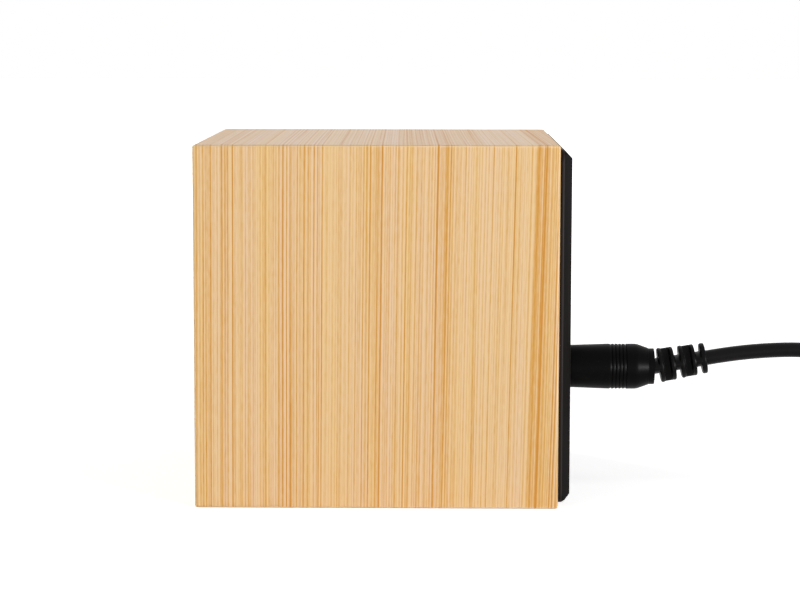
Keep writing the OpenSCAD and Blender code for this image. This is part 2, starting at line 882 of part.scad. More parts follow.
module battery_springs() {
  inner = bay_h / 2 - contact_t;
  color(steel) for (p = spring_places)
    translate([cell_x(p[1]), cell_y, mid_z + p[0] * inner]) rotate([p[0] > 0 ? 180 : 0, 0, 0]) spring();
}

module battery_contacts() {
  color(steel) {
    for (s = contact_spans) {
      w = cell_x(s[2]) - cell_x(s[1]) + contact_w;
      upright_plate((cell_x(s[1]) + cell_x(s[2])) / 2, contact_z(s[0]), w, contact_t,
        cell_y - contact_depth / 2, contact_depth);
    }
    for (s = terminal_spans)
      upright_plate(terminal_x(s), contact_z(s[0]), tab_w, contact_t,
        box_y - tab_l, cell_y - box_y + tab_l);
  }
}

// Slack line from the display board to a place further back; both ends run straight for a while
function slack_line(x, z, to_y, sag, straight) =
  let (from_y = display_back_y, run = to_y - from_y - 2 * straight)
  concat(
    [[x, from_y, z]],
    [for (i = [0 : slack_steps])
      [x, from_y + straight + run * i / slack_steps, z - sag * (1 - cos(360 * i / slack_steps)) / 2]],
    [[x, to_y, z]]
  );

module battery_leads() {
  color("firebrick") for (s = terminal_spans)
    flat_route_tube(slack_line(terminal_x(s), contact_z(s[0]), box_y - tab_l, lead_sag, lead_d),
      lead_d, lead_sides);
}

// Controls on the right-hand strip

module rear_board(side) {
  middle = (rear_board_low + rear_board_high) / 2;
  difference() {
    upright_plate(side * strip_x, middle, rear_board_w, rear_board_high - rear_board_low,
      rear_board_y - board_t, board_t);
    at_posts(side) bar(0, 0, rivet_hole_d, rear_board_y - board_t - cut, board_t + 2 * cut);
  }
}

module button_board() {
  color(board_green) rear_board(1);
}

module switch_bodies() {
  hole_d = plunger_d + 2 * running_gap;
  depth = plunger_root + button_travel + loose_gap;
  color(black) at_buttons() difference() {
    upright_plate(0, 0, switch_w, switch_w, rear_board_y, switch_h);
    bar(0, 0, hole_d, rear_board_y + switch_h - depth, depth + cut);
  }
}

// Button with a dished face, a flange behind the cover and a stem that reaches its switch
module button(place) {
  face_y = cover_y - button_recess;
  flange_y = seat_y - stop_gap - flange_t;
  color(black) translate([strip_x, 0, button_height + place * button_pitch]) turned([
    [button_rest_y, 0], [button_rest_y, plunger_d / 2], [flange_y, plunger_d / 2], [flange_y, flange_d / 2],
    [flange_y + flange_t, flange_d / 2], [flange_y + flange_t, button_d / 2], [face_y, button_d / 2],
    [face_y, dish_d / 2], [face_y - dish_depth, 0]
  ]);
}

module plunger(place) {
  from_y = rear_board_y + switch_h - plunger_root;
  color("dimgray")
    bar(strip_x, button_height + place * button_pitch, plunger_d, from_y, button_rest_y - from_y);
}

module set_button() button(2);
module up_button() button(1);
module down_button() button(0);
module set_plunger() plunger(2);
module up_plunger() plunger(1);
module down_plunger() plunger(0);

// Power socket

module dc_jack() {
  bore_d = barrel_d + 2 * jack_bore_gap;
  leaf_room = leaf_t + 3 * leaf_slot;
  color(black) difference() {
    upright_plate(strip_x, jack_height, jack_w, jack_w, rear_board_y, jack_l);
    bar(strip_x, jack_height, bore_d, rear_board_y + jack_back, jack_l);
    bar(strip_x, jack_height, jack_pin_d + 2 * fixed_gap, rear_board_y - cut, jack_l);
    upright_plate(strip_x, jack_height + barrel_d / 2 + leaf_room / 2, leaf_w + 2 * leaf_slot, leaf_room,
      rear_board_y - cut, jack_l - jack_back);
  }
}

module dc_jack_pin() {
  color(steel) bar(strip_x, jack_height, jack_pin_d, rear_board_y, jack_l - jack_back);
}

module dc_jack_leaf() {
  color(gold) upright_plate(strip_x, jack_height + barrel_d / 2 + leaf_slot + leaf_t / 2, leaf_w, leaf_t,
    rear_board_y, jack_l - leaf_short);
}

// Sound parts on the left-hand strip

module sound_board() {
  color(board_green) rear_board(-1);
}

module sound_switch() {
  slot_h = knob_w + slider_travel + 2 * running_gap;
  slot_depth = knob_root + loose_gap;
  color(steel) difference() {
    upright_plate(-strip_x, slider_height, slider_body[0], slider_body[2], rear_board_y, slider_body[1]);
    upright_plate(-strip_x, slider_height, knob_w + 2 * running_gap, slot_h,
      rear_board_y + slider_body[1] - slot_depth, slot_depth + cut);
  }
}

module sound_switch_knob() {
  from_y = rear_board_y + slider_body[1] - knob_root;
  to_y = cover_y - knob_recess;
  color("whitesmoke")
    upright_plate(-strip_x, slider_height - slider_travel / 2, knob_w, knob_w, from_y, to_y - from_y);
}

module buzzer() {
  color(black) difference() {
    upright_plate(-strip_x, buzzer_height, buzzer_w, buzzer_w, rear_board_y, buzzer_t);
    bar(-strip_x, buzzer_height, 2 * sound_hole_d, rear_board_y + buzzer_t / 2, buzzer_t);
  }
}

module microphone() {
  color(steel) bar(-strip_x, mic_height, mic_d, rear_board_y, mic_t);
}

// Flat cable from the display board to a rear board
module ribbon(side, w) {
  route = slack_line(0, ribbon_z, rear_board_y - board_t, ribbon_sag, ribbon_straight);
  last = len(route) - 1;
  outline = concat(
    [for (i = [0 : last]) [route[i][1], route[i][2] + ribbon_t / 2]],
    [for (i = [last : -1 : 0]) [route[i][1], route[i][2] - ribbon_t / 2]]
  );
  color("lightgray") translate([side * strip_x - w / 2, 0, 0])
    rotate([90, 0, 90]) linear_extrude(w) polygon(outline);
}

module button_ribbon() ribbon(1, button_ribbon_w);
module sound_ribbon() ribbon(-1, sound_ribbon_w);

// Lead

module at_plug() {
  translate([strip_x, cover_y, jack_height]) children();
}

module plug_handle() {
  ribs = [for (i = [0 : groove_count - 1]) let (y = groove_first + i * groove_pitch) each [
    [y, handle_d / 2], [y, handle_d / 2 - groove_depth],
    [y + groove_w, handle_d / 2 - groove_depth], [y + groove_w, handle_d / 2]
  ]];
  color(soft_black) at_plug() difference() {
    turned(concat(
      [[0, 0], [0, handle_root_d / 2 - handle_edge], [handle_edge, handle_root_d / 2]],
      ribs,
      [
        [band_y + band_l, handle_d / 2], [band_y + band_l + cone_l, relief_d / 2 + handle_edge],
        [band_y + band_l + cone_l, collar_d / 2], [handle_total, collar_d / 2], [handle_total, 0]
      ]
    ));
    bar(0, 0, barrel_d + 2 * fixed_gap, -cut, barrel_root + cut);
  }
}

// Tube of the plug between two diameters, from inside the handle to the barrel's tip
module plug_tube(outer_d, inner_d, tip_gap) {
  at_plug() difference() {
    bar(0, 0, outer_d, tip_gap - barrel_l, barrel_l - tip_gap + barrel_root);
    bar(0, 0, inner_d, -barrel_l - cut, barrel_l + barrel_root + 2 * cut);
  }
}

insulator_d = barrel_d - 2 * barrel_wall;
inner_contact_d = jack_pin_d + 2 * running_gap + 2 * inner_wall;

module plug_barrel() {
  color(steel) plug_tube(barrel_d, insulator_d, 0);
}

module plug_insulator() {
  color("dimgray") plug_tube(insulator_d - 2 * fixed_gap, inner_contact_d + 2 * fixed_gap, loose_gap);
}

module plug_inner_contact() {
  color(gold) plug_tube(inner_contact_d, jack_pin_d + 2 * running_gap, 2 * loose_gap);
}

module strain_relief() {
  pitch = relief_l / relief_slots;
  slot = pitch * slot_share;
  room = 2 * (relief_l + relief_d);
  color(soft_black) intersection() {
    translate([strip_x, relief_y, jack_height]) rotate([relief_tilt, 0, 0]) difference() {
      translate([0, -cut, 0]) to_rear() cylinder(d1 = relief_d, d2 = relief_end_d, h = relief_l + cut);
      for (i = [0 : relief_slots - 1], s = [-1, 1])
        rotate([0, (i % 2) * 90, 0])
          upright_plate(0, s * (relief_d + relief_web) / 2, 2 * relief_d, relief_d,
            i == 0 ? -2 * cut : i * pitch, i == 0 ? slot + 2 * cut : slot);
    }
    upright_plate(strip_x, jack_height, room, room, relief_y, room);
  }
}

module cord() {
  color(soft_black) flat_route_tube(cord_route, cord_d, cord_sides);
}

// Place along the coil: how many layers down, and how far through the layer's turns
function layer_of(turn) = min(floor(turn / layer_turns), coil_layers - 1);
function turn_in(turn) = turn - layer_of(turn) * layer_turns;
function back_share(turn) = max(0, (turn_in(turn) - turns_per_layer) / turn_back);
function coil_radius(turn) =
  let (
    inward = layer_of(turn) % 2 == 0 ? 1 : -1,
    run = min(turn_in(turn), turns_per_layer) * coil_step,
    swing = coil_step / (2 * PI) * sin(180 * back_share(turn))
  )
  (inward > 0 ? coil_out_r : coil_in_r) - inward * (run + swing);
function coil_height(turn) = coil_top_z - coil_step * (layer_of(turn) + eased(back_share(turn)));
function coil_point(turn) =
  let (r = coil_radius(turn), a = 360 * turn)
  [coil_x + r * cos(a), coil_y + r * sin(a), coil_height(turn)];

coil_rings = coil_turns * rings_per_turn;
coil_middle = [for (i = [0 : coil_rings]) coil_point(i / rings_per_turn)];
coil_path = concat(
  [coil_middle[0] - [0, cord_d, 0]],
  coil_middle,
  [coil_middle[coil_rings] + [0, cord_d, 0]]
);
coil_least_gap = min([
  for (i = [0 : coil_rings - rings_per_turn / 2], j = [i + rings_per_turn / 2 : coil_rings])
    norm(coil_middle[i] - coil_middle[j]) - cord_d
]);
echo(str("least gap between the coil's turns, mm: ", coil_least_gap));

module cord_coil() {
  angles = concat([0], [for (i = [0 : coil_rings]) 360 * i / rings_per_turn], [0]);
  color(soft_black) tube(coil_path, [for (a = angles) [cos(a), sin(a), 0]], cord_d, coil_sides);
}

module cord_tail() {
  color(soft_black) flat_route_tube(tail_route, cord_d, cord_sides);
}

// Strap round the bundle of turns, on the side away from the cord
// Half a turn round, where the tie is, the outermost strand has gone in by a quarter of a step
module cord_tie() {
  swing = coil_step / (2 * PI);
  least_r = coil_in_r - swing - cord_d / 2;
  inner_x = sqrt(least_r * least_r - tie_w * tie_w / 4) - tie_gap;
  outer_x = coil_out_r - coil_step / 4 + cord_d / 2 + tie_gap;
  bundle_w = outer_x - inner_x;
  bundle_h = coil_top_z - coil_low_z + cord_d + 2 * tie_gap;
  inner_r = cord_d / 2;
  color(black) translate([coil_x - (outer_x + inner_x) / 2, coil_y + tie_w / 2, tie_t + bundle_h / 2])
    rotate([90, 0, 0]) linear_extrude(tie_w) difference() {
      rounded_square(bundle_w + 2 * tie_t, bundle_h + 2 * tie_t, inner_r + tie_t);
      rounded_square(bundle_w, bundle_h, inner_r);
    }
}

// USB plug

module at_usb(y) {
  translate([strip_x, y, usb_z]) children();
}

module usb_grip() {
  color(soft_black) difference() {
    union() {
      at_usb(usb_nose_y) to_rear()
        cylinder(d1 = cord_d + 2 * usb_nose_rim, d2 = usb_nose_d, h = usb_nose_l + usb_edge);
      at_usb(usb_face_y) rotate([90, 0, 0]) linear_extrude(usb_l)
        rounded_square(usb_w, usb_h, usb_corner_r);
    }
    at_usb(usb_face_y)
      upright_plate(0, 0, usb_shell_w + 2 * fixed_gap, usb_shell_h + 2 * fixed_gap,
        -usb_root, usb_root + cut);
  }
}

module usb_shell() {
  l = usb_root + usb_shell_l;
  color(steel) at_usb(usb_face_y) difference() {
    upright_plate(0, 0, usb_shell_w, usb_shell_h, -usb_root, l);
    upright_plate(0, 0, usb_shell_w - 2 * usb_shell_t, usb_shell_h - 2 * usb_shell_t,
      -usb_root - cut, l + 2 * cut);
    for (side = [-1, 1])
      upright_plate(side * usb_window_x, 0, usb_window_w, usb_shell_h + 2 * cut, usb_window_y, usb_window_l);
  }
}

usb_in_w = usb_shell_w - 2 * usb_shell_t - 2 * fixed_gap;
usb_in_h = usb_shell_h - 2 * usb_shell_t - 2 * fixed_gap;
usb_tongue_z = (usb_in_h - usb_tongue_t) / 2;

module usb_tongue() {
  color("white") at_usb(usb_face_y) {
    upright_plate(0, 0, usb_in_w, usb_in_h, -usb_root, usb_root);
    upright_plate(0, usb_tongue_z, usb_in_w, usb_tongue_t, 0, usb_shell_l - usb_tongue_short);
  }
}

module usb_contacts() {
  row = (usb_contact_count - 1) * usb_contact_pitch / 2;
  z = usb_tongue_z - usb_tongue_t / 2 - usb_contact_t / 2;
  color(gold) at_usb(usb_face_y) for (i = [0 : usb_contact_count - 1])
    upright_plate(i * usb_contact_pitch - row, z, usb_contact_w, usb_contact_t,
      0, usb_shell_l - 2 * usb_tongue_short);
}

top_panel();
base_panel();
left_panel();
right_panel();
front_veneer();
corner_blocks();
diffuser_sheet();
display_mask();
display_board();
display_screws();
segment_leds();
clock_chip();
clock_crystal();
rear_cover();
cover_screws();
battery_door();
battery_cells();
battery_springs();
battery_contacts();
battery_leads();
button_board();
switch_bodies();
set_button();
set_plunger();
up_button();
up_plunger();
down_button();
down_plunger();
dc_jack();
dc_jack_pin();
dc_jack_leaf();
sound_board();
sound_switch();
sound_switch_knob();
buzzer();
microphone();
button_ribbon();
sound_ribbon();
plug_handle();
plug_barrel();
plug_insulator();
plug_inner_contact();
strain_relief();
cord();
cord_coil();
cord_tail();
cord_tie();
usb_grip();
usb_shell();
usb_tongue();
usb_contacts();
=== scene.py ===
import json
import math

import bmesh
import bpy
from mathutils import Matrix, Vector


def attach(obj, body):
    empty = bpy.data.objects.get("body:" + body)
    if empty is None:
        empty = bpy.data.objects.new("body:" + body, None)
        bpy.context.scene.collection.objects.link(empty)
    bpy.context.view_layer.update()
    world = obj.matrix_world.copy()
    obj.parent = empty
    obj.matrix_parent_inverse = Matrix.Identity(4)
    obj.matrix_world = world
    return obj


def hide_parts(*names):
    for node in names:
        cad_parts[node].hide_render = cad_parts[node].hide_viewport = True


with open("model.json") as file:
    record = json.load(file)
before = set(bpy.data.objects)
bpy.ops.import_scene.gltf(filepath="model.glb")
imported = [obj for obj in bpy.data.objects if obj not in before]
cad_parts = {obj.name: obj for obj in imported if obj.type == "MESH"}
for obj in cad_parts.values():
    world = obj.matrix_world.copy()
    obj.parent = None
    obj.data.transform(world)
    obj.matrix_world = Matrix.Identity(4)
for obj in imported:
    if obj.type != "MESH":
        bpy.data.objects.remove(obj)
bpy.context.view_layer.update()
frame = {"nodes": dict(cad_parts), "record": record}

mm = 0.001
closeEnough = 0.001 * mm  # points nearer than this are one point
nodes = frame["nodes"]
scene = bpy.context.scene
print("frame loaded:", len(nodes), "pieces")


# camera at the photograph's viewing angle: a long lens, a little above the clock's middle
view = {
    "place": (422.5, 8.745, 79.7),  # mm
    "yaw": -0.0149,  # radians from a level look along -X
    "pitch": -0.115,
    "roll": 0.0013,
    "lens": 108.7,
    "sensor": 36.0,
    "clip": (0.01, 20.0),  # m
}


def addCamera():
    data = bpy.data.cameras.new("photoCamera")
    data.lens = view["lens"]
    data.sensor_width = view["sensor"]
    data.clip_start, data.clip_end = view["clip"]
    camera = bpy.data.objects.new("photoCamera", data)
    place = Matrix.Translation(Vector(view["place"]) * mm)
    turn = Matrix.Rotation(math.radians(90) - view["yaw"], 4, "Z")
    tip = Matrix.Rotation(math.radians(90) + view["pitch"], 4, "X")
    lean = Matrix.Rotation(view["roll"], 4, "Z")
    camera.matrix_world = place @ turn @ tip @ lean
    scene.collection.objects.link(camera)
    scene.camera = camera


addCamera()
print("camera placed")


# power lead: out of the strain relief, level, down to its coil, round the coil and on to the USB plug
lead = {
    "thick": 2.5,  # mm
    "start": (21.6, 53.8793, 24.1524),  # end of the strain relief
    "tilt": 9.5,  # degrees upwards where it leaves
    "straight": 2.0,
    "riseRun": 13.0,
    "runSteps": 32,
    "coilRun": 56.5,  # from the strain relief's end to the coil's middle
    "coilRadius": 14.4,
    "coilGap": 0.45,
    "coilLayers": 4,
    "layerTurns": 2.125,
    "turnBack": 0.5,
    "pointsPerTurn": 40,
    "tieRoom": 0.7,  # strap and gap under the lowest layer
    "usbRun": 19.0,
    "usbHeight": 4.0,
    "tailSteps": 12,
    "roundness": 5,
    "length": 0.98,  # m
}


def eased(t):
    return t * t * (3 - 2 * t)


def runPoints(first, slope, run, top):  # rises, levels out and comes down to the coil
    rise = lead["riseRun"]
    peak = first.z + slope * rise / 2
    points = []
    for i in range(lead["runSteps"] + 1):
        y = run * i / lead["runSteps"]
        rising = min(y, rise)
        falling = max(0, y - rise) / (run - rise)
        z = first.z + slope * (rising - rising * rising / (2 * rise)) - (peak - top) * eased(falling)
        points.append(Vector((first.x, first.y + y, z)))
    return points


def coilPoints(middle, outer, step, top):  # spirals in and out, one layer below the other
    inner = outer - lead["layerTurns"] * step
    layer = lead["layerTurns"] + lead["turnBack"]
    turns = lead["coilLayers"] * layer - lead["turnBack"]
    points = []
    for i in range(round(turns * lead["pointsPerTurn"]) + 1):
        turn = i / lead["pointsPerTurn"]
        number = min(int(turn // layer), lead["coilLayers"] - 1)
        inLayer = turn - number * layer
        back = max(0, (inLayer - lead["layerTurns"]) / lead["turnBack"])
        travel = min(inLayer, lead["layerTurns"]) * step + step / (2 * math.pi) * math.sin(math.pi * back)
        radius = outer - travel if number % 2 == 0 else inner + travel
        angle = 2 * math.pi * turn
        height = top - step * (number + eased(back))
        points.append(middle + Vector((radius * math.cos(angle), radius * math.sin(angle), height)))
    return points


def tailPoints(start, low):  # from the lowest layer up to the USB plug
    thick = lead["thick"]
    run = lead["usbRun"] - 3 * thick
    points = []
    for i in range(lead["tailSteps"] + 1):
        share = i / lead["tailSteps"]
        height = low + (lead["usbHeight"] - low) * eased(share)
        points.append(Vector((start.x, start.y + 2 * thick + run * share, height)))
    return points


def leadRoute():
    thick = lead["thick"]
    step = thick + lead["coilGap"]
    start = Vector(lead["start"])
    tilt = math.radians(lead["tilt"])
    first = start + lead["straight"] * Vector((0, math.cos(tilt), math.sin(tilt)))
    outer = lead["coilRadius"] + lead["layerTurns"] * step / 2
    middle = Vector((start.x - outer, start.y + lead["coilRun"], 0))
    low = lead["tieRoom"] + thick / 2
    top = low + (lead["coilLayers"] - 1) * step
    beside = Vector((start.x, middle.y, 0))  # where the coil's outermost turn begins and ends

    points = [start]
    points += runPoints(first, math.tan(tilt), middle.y - 2 * thick - first.y, top)
    points.append(beside + Vector((0, -thick, top)))
    points += coilPoints(middle, outer, step, top)
    points.append(beside + Vector((0, thick, low)))
    points += tailPoints(beside, low)
    points.append(beside + Vector((0, lead["usbRun"], lead["usbHeight"])))
    return [p * mm for p in points]


def addLead():
    points = leadRoute()
    data = bpy.data.curves.new("powerCord", "CURVE")
    data.dimensions = "3D"
    data.bevel_depth = 1.0  # times each point's radius
    data.bevel_resolution = lead["roundness"]
    data.use_fill_caps = True
    spline = data.splines.new("POLY")
    spline.points.add(len(points) - 1)
    for knot, p in zip(spline.points, points):
        knot.co = (*p, 1)
        knot.radius = lead["thick"] / 2 * mm
    cord = bpy.data.objects.new("powerCord", data)
    scene.collection.objects.link(cord)
    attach(cord, "lead")
    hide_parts("cord", "cord_coil", "cord_tail")
    return cord, points


powerCord, leadPoints = addLead()
print("lead laid:", len(leadPoints), "points")


# helpers that build the finishes
def addNode(tree, kind, inputs=None, **settings):
    node = tree.nodes.new(kind)
    for key, value in settings.items():
        setattr(node, key, value)
    for key, value in (inputs or {}).items():
        if isinstance(value, bpy.types.NodeSocket):
            tree.links.new(value, node.inputs[key])
        else:
            node.inputs[key].default_value = value
    return node


def newFinish(name):
    finish = bpy.data.materials.new(name)
    finish.use_nodes = True
    tree = finish.node_tree
    return finish, tree, tree.nodes["Principled BSDF"]


def setShader(shader, **values):
    for key, value in values.items():
        shader.inputs[key].default_value = value


def maths(tree, operation, a, b=0.0, clamp=False):
    return addNode(tree, "ShaderNodeMath", {0: a, 1: b}, operation=operation, use_clamp=clamp).outputs[0]


def objectPlace(tree, scale=(1, 1, 1)):
    where = addNode(tree, "ShaderNodeTexCoord").outputs["Object"]
    return addNode(tree, "ShaderNodeMapping", {"Vector": where, "Scale": scale}).outputs[0]


def axesOf(tree, place):
    return addNode(tree, "ShaderNodeSeparateXYZ", {0: place}).outputs


def noise(tree, where, scale=1.0, detail=1.0, rough=0.5):
    inputs = {"Vector": where, "Scale": scale, "Detail": detail, "Roughness": rough}
    return addNode(tree, "ShaderNodeTexNoise", inputs).outputs["Fac"]


def ramp(tree, value, stops, interpolation="LINEAR"):
    node = addNode(tree, "ShaderNodeValToRGB", {"Fac": value})
    line = node.color_ramp
    line.interpolation = interpolation
    while len(line.elements) < len(stops):
        line.elements.new(1.0)
    for element, (place, colour) in zip(line.elements, stops):
        element.position = place
        element.color = (*colour, 1)
    return node.outputs["Color"]


def grey(level):
    return (level, level, level)


def srgb(*levels):  # 0 to 255, as a picture has them
    return tuple(((level / 255 + 0.055) / 1.055) ** 2.4 for level in levels)


def mixColour(tree, share, a, b, blend="MIX"):
    node = addNode(tree, "ShaderNodeMix", data_type="RGBA", blend_type=blend)
    factor, first, second = node.inputs[0], node.inputs[6], node.inputs[7]  # the node's colour sockets
    for socket, value in ((factor, share), (first, a), (second, b)):
        if isinstance(value, bpy.types.NodeSocket):
            tree.links.new(value, socket)
        else:
            socket.default_value = (*value, 1) if isinstance(value, tuple) else value
    return node.outputs[2]


def stretch(tree, value, low, high, toLow=0.0, toHigh=1.0):
    inputs = {"Value": value, "From Min": low, "From Max": high, "To Min": toLow, "To Max": toHigh}
    return addNode(tree, "ShaderNodeMapRange", inputs, clamp=True).outputs[0]


def bumpFrom(tree, shader, height, depth, strength=1.0):
    inputs = {"Height": height, "Distance": depth * mm, "Strength": strength}
    tree.links.new(addNode(tree, "ShaderNodeBump", inputs).outputs[0], shader.inputs["Normal"])


# bamboo: strips glued side by side, each with long thin fibres
bamboo = {
    "pale": srgb(248, 213, 166),
    "ground": srgb(240, 198, 141),
    "fibre": srgb(231, 173, 92),
    "darkFibre": srgb(222, 153, 62),
    "toneStops": (0.0, 0.35, 0.72, 1.0),  # tones of the four colours above
    "figure": 1.0,  # strength of the fibres
    # fibres: pitch, width and soft edge in mm, share left out, breaks per m, least strength, seed, weight
    "fibres": (
        (8.0, 1.2, 0.9, 0.3, 12, 0.0, 1.3, 0.16),  # broad streaks
        (1.25, 0.30, 0.15, 0.3, 8, 0.3, 11.9, 0.60),  # bold lines
        (0.72, 0.23, 0.13, 0.25, 9, 0.25, 3.1, 0.52),
        (0.43, 0.17, 0.12, 0.15, 14, 0.15, 7.7, 0.46),  # hairs
        (0.6, 0.19, 0.13, 0.2, 11, 0.15, 15.2, -0.48),  # pale lines
    ),
    "boldest": 0.8,  # the share of lines past this has full strength
    "lineSpread": 60.0,  # keeps the breaks of neighbouring lines apart
    "breakNoise": (0.38, 0.58),  # a line is broken below the first, whole above the second
    # ripples: period and pitch of their drift in mm, seed, weight
    "ripples": ((0.57, 2.3, 21.7, 0.17), (0.42, 1.7, 27.3, 0.15)),
    "rippleDrift": 9.0,  # radians
    "rippleChanges": 6,  # per m along the grain
    # flecks and tints: pitch in mm, changes per m along the grain, seed, noise from and to
    "flecks": (0.15, 600, 5.5, 0.25, 0.75),
    "fleckWeight": 0.3,
    "tints": (2.2, 7, 33.1, 0.33, 0.67),
    "golden": (1.0, 0.985, 0.86),
    "creamy": (1.0, 1.012, 1.10),
    "waver": (70, 18, 0.7),  # changes per m across and along the grain, seed
    "waverReach": 0.3,  # mm
    "leanPlaces": (-20.0, 30.0),  # mm from the middle of a face: the fibres lean more towards the rear
    "leans": (0.004, 0.026),  # mm per mm there
    "leanFrom": 60.0,
    "span": 62.0,  # mm across a face
    "stripEdges": (-22.0, -12.0, -4.0, 2.0, 8.0, 12.5, 24.5),  # mm from the middle of a face
    "stripTones": (0.16, 0.20, 0.09, 0.24, 0.12, 0.30, 0.09, 0.39),
    "jointWidth": 0.2,  # mm
    "jointTone": 0.6,
    "caseHalf": 30.0,  # mm, from the case's middle to its sides, top and base
    "caseMiddle": 30.0,
    "caseFront": -31.0,
    "edgeLight": 0.35,  # how much paler its rounded edges are painted, painted light against their shading
    "edgeLightDepth": (0.01, 0.1),  # mm inside the flat faces, where the painted light begins and is full
    "rough": 0.42,
    "roughSpread": (-0.05, 0.08),  # on pale and on dark wood
    "specular": 0.25,
    "grooves": (-0.02, 0.25),  # mm, depth of the fibres, and strength of their shading
}

shadedTopBamboo = {  # a calmer board, its darker palette painted shade for the top's weaker light
    **bamboo,
    "pale": srgb(236, 199, 158),
    "ground": srgb(228, 185, 135),
    "fibre": srgb(217, 160, 87),
    "darkFibre": srgb(207, 140, 58),
    "figure": 0.62,
    "rough": 0.4,
    "specular": 0.62,
    "stripEdges": (-19.0, -7.0, 3.0, 16.0, 25.0),
    "stripTones": (0.20, 0.12, 0.18, 0.30, 0.10, 0.38),
}

rimBamboo = {**bamboo, "figure": 0.3}


def stripStops(wood):  # tone of each strip, with a thin dark joint between each two
    half = wood["span"] / 2
    width = wood["jointWidth"] / wood["span"]
    tones = wood["stripTones"]
    stops = [(0.0, grey(tones[0]))]
    for edge, before, after in zip(wood["stripEdges"], tones, tones[1:]):
        share = (edge + half) / wood["span"]
        joint = (share, grey(wood["jointTone"]))
        stops += [(share - width, grey(before)), joint, (share + width / 2, grey(after))]
    return stops


def paintedEdgeLight(tree, wood, xyz):  # painted light on the rounded edges; a point on a rounded edge lies a little inside all the flat faces
    inward = maths(tree, "SUBTRACT", xyz["Y"], wood["caseFront"] * mm)
    for axis, middle in (("X", 0.0), ("Z", wood["caseMiddle"])):
        away = maths(tree, "ABSOLUTE", maths(tree, "SUBTRACT", xyz[axis], middle * mm))
        inward = maths(tree, "MINIMUM", inward, maths(tree, "SUBTRACT", wood["caseHalf"] * mm, away))
    begins, full = wood["edgeLightDepth"]
    return stretch(tree, inward, begins * mm, full * mm, 0.0, -wood["edgeLight"])


def bambooFinish(name, wood, across="Y", middle=0.0):
    finish, tree, shader = newFinish(name)
    xyz = axesOf(tree, objectPlace(tree))
    side = maths(tree, "SUBTRACT", xyz[across], middle * mm)
    run = maths(tree, "ADD", xyz["X"], xyz["Z"]) if across == "Y" else xyz["X"]  # round the case, or level

    def spread(source, acrossScale, alongScale, seed):
        sideways = maths(tree, "MULTIPLY", source, acrossScale)
        lengthwise = maths(tree, "MULTIPLY", run, alongScale)
        return addNode(tree, "ShaderNodeCombineXYZ", {0: sideways, 1: lengthwise, 2: seed}).outputs[0]

    # the fibres waver a little and lean
    waver = stretch(tree, noise(tree, spread(side, *wood["waver"])), 0.0, 1.0, -0.5, 0.5)
    lean = stretch(tree, side, *(place * mm for place in wood["leanPlaces"]), *wood["leans"])
    leaning = maths(tree, "MULTIPLY", lean, maths(tree, "SUBTRACT", wood["leanFrom"] * mm, run))
    wavering = maths(tree, "MULTIPLY", waver, wood["waverReach"] * mm)
    drift = maths(tree, "ADD", maths(tree, "ADD", side, leaning), wavering)

    def patches(kind, low=0.0, high=1.0):
        pitch, along, seed, start, end = wood[kind]
        value = noise(tree, spread(drift, 1 / (pitch * mm), along, seed))
        return stretch(tree, value, start, end, low, high)

    fleckReach = wood["fleckWeight"] * wood["figure"] / 2
    # the layers begin with random flecks and the painted light on the rounded edges
    layers = [patches("flecks", -fleckReach, fleckReach), paintedEdgeLight(tree, wood, xyz)]
    for pitch, width, soft, leftOut, along, least, seed, weight in wood["fibres"]:
        inputs = {"W": maths(tree, "ADD", drift, seed), "Scale": 1 / (pitch * mm)}
        line = addNode(tree, "ShaderNodeTexVoronoi", inputs, voronoi_dimensions="1D").outputs
        chance = addNode(tree, "ShaderNodeSeparateColor", {0: line["Color"]}).outputs
        inner, outer = (width - soft) / (2 * pitch), (width + soft) / (2 * pitch)
        stroke = stretch(tree, line["Distance"], inner, outer, weight * wood["figure"], 0.0)
        strength = stretch(tree, chance["Red"], leftOut, wood["boldest"])
        broken = noise(tree, spread(chance["Green"], wood["lineSpread"], along, seed))
        present = stretch(tree, broken, *wood["breakNoise"], least, 1.0)
        layers.append(maths(tree, "MULTIPLY", stroke, maths(tree, "MULTIPLY", strength, present)))
    for period, pitch, seed, weight in wood["ripples"]:  # evenly spaced fine fibres
        wander = noise(tree, spread(drift, 1 / (pitch * mm), wood["rippleChanges"], seed))
        wander = maths(tree, "MULTIPLY", wander, wood["rippleDrift"])
        phase = maths(tree, "ADD", maths(tree, "MULTIPLY", drift, 2 * math.pi / (period * mm)), wander)
        layers.append(maths(tree, "MULTIPLY", maths(tree, "SINE", phase), weight * wood["figure"]))

    fromEdge = maths(tree, "ADD", drift, wood["span"] / 2 * mm)
    tone = ramp(tree, maths(tree, "DIVIDE", fromEdge, wood["span"] * mm), stripStops(wood))
    for layer in layers:
        tone = maths(tree, "ADD", tone, layer)
    tone = stretch(tree, tone, 0.0, 1.0)

    colours = (wood["pale"], wood["ground"], wood["fibre"], wood["darkFibre"])
    colour = ramp(tree, tone, list(zip(wood["toneStops"], colours)))
    tint = ramp(tree, patches("tints"), [(0.0, wood["golden"]), (1.0, wood["creamy"])])
    tree.links.new(mixColour(tree, 1.0, colour, tint, "MULTIPLY"), shader.inputs["Base Color"])
    rough = stretch(tree, tone, 0.0, 1.0, *(wood["rough"] + more for more in wood["roughSpread"]))
    tree.links.new(rough, shader.inputs["Roughness"])
    setShader(shader, **{"Specular IOR Level": wood["specular"]})
    bumpFrom(tree, shader, tone, *wood["grooves"])
    return finish, tree, shader, tone


# moulded plastics: a fine grain, and faint clouds in colour and gloss
moulded = {
    "grainNoise": (3.0, 0.6),  # detail and roughness
    "cloudNoise": (90, 3.0, 0.55),  # patches per m, detail and roughness
    "cloudRange": (0.3, 0.7),
    "cloudSheen": 0.15,  # how much lighter the clouds are
    "cloudLift": 0.001,
    "roughSpread": 0.05,
    "grainStrength": 0.35,
}


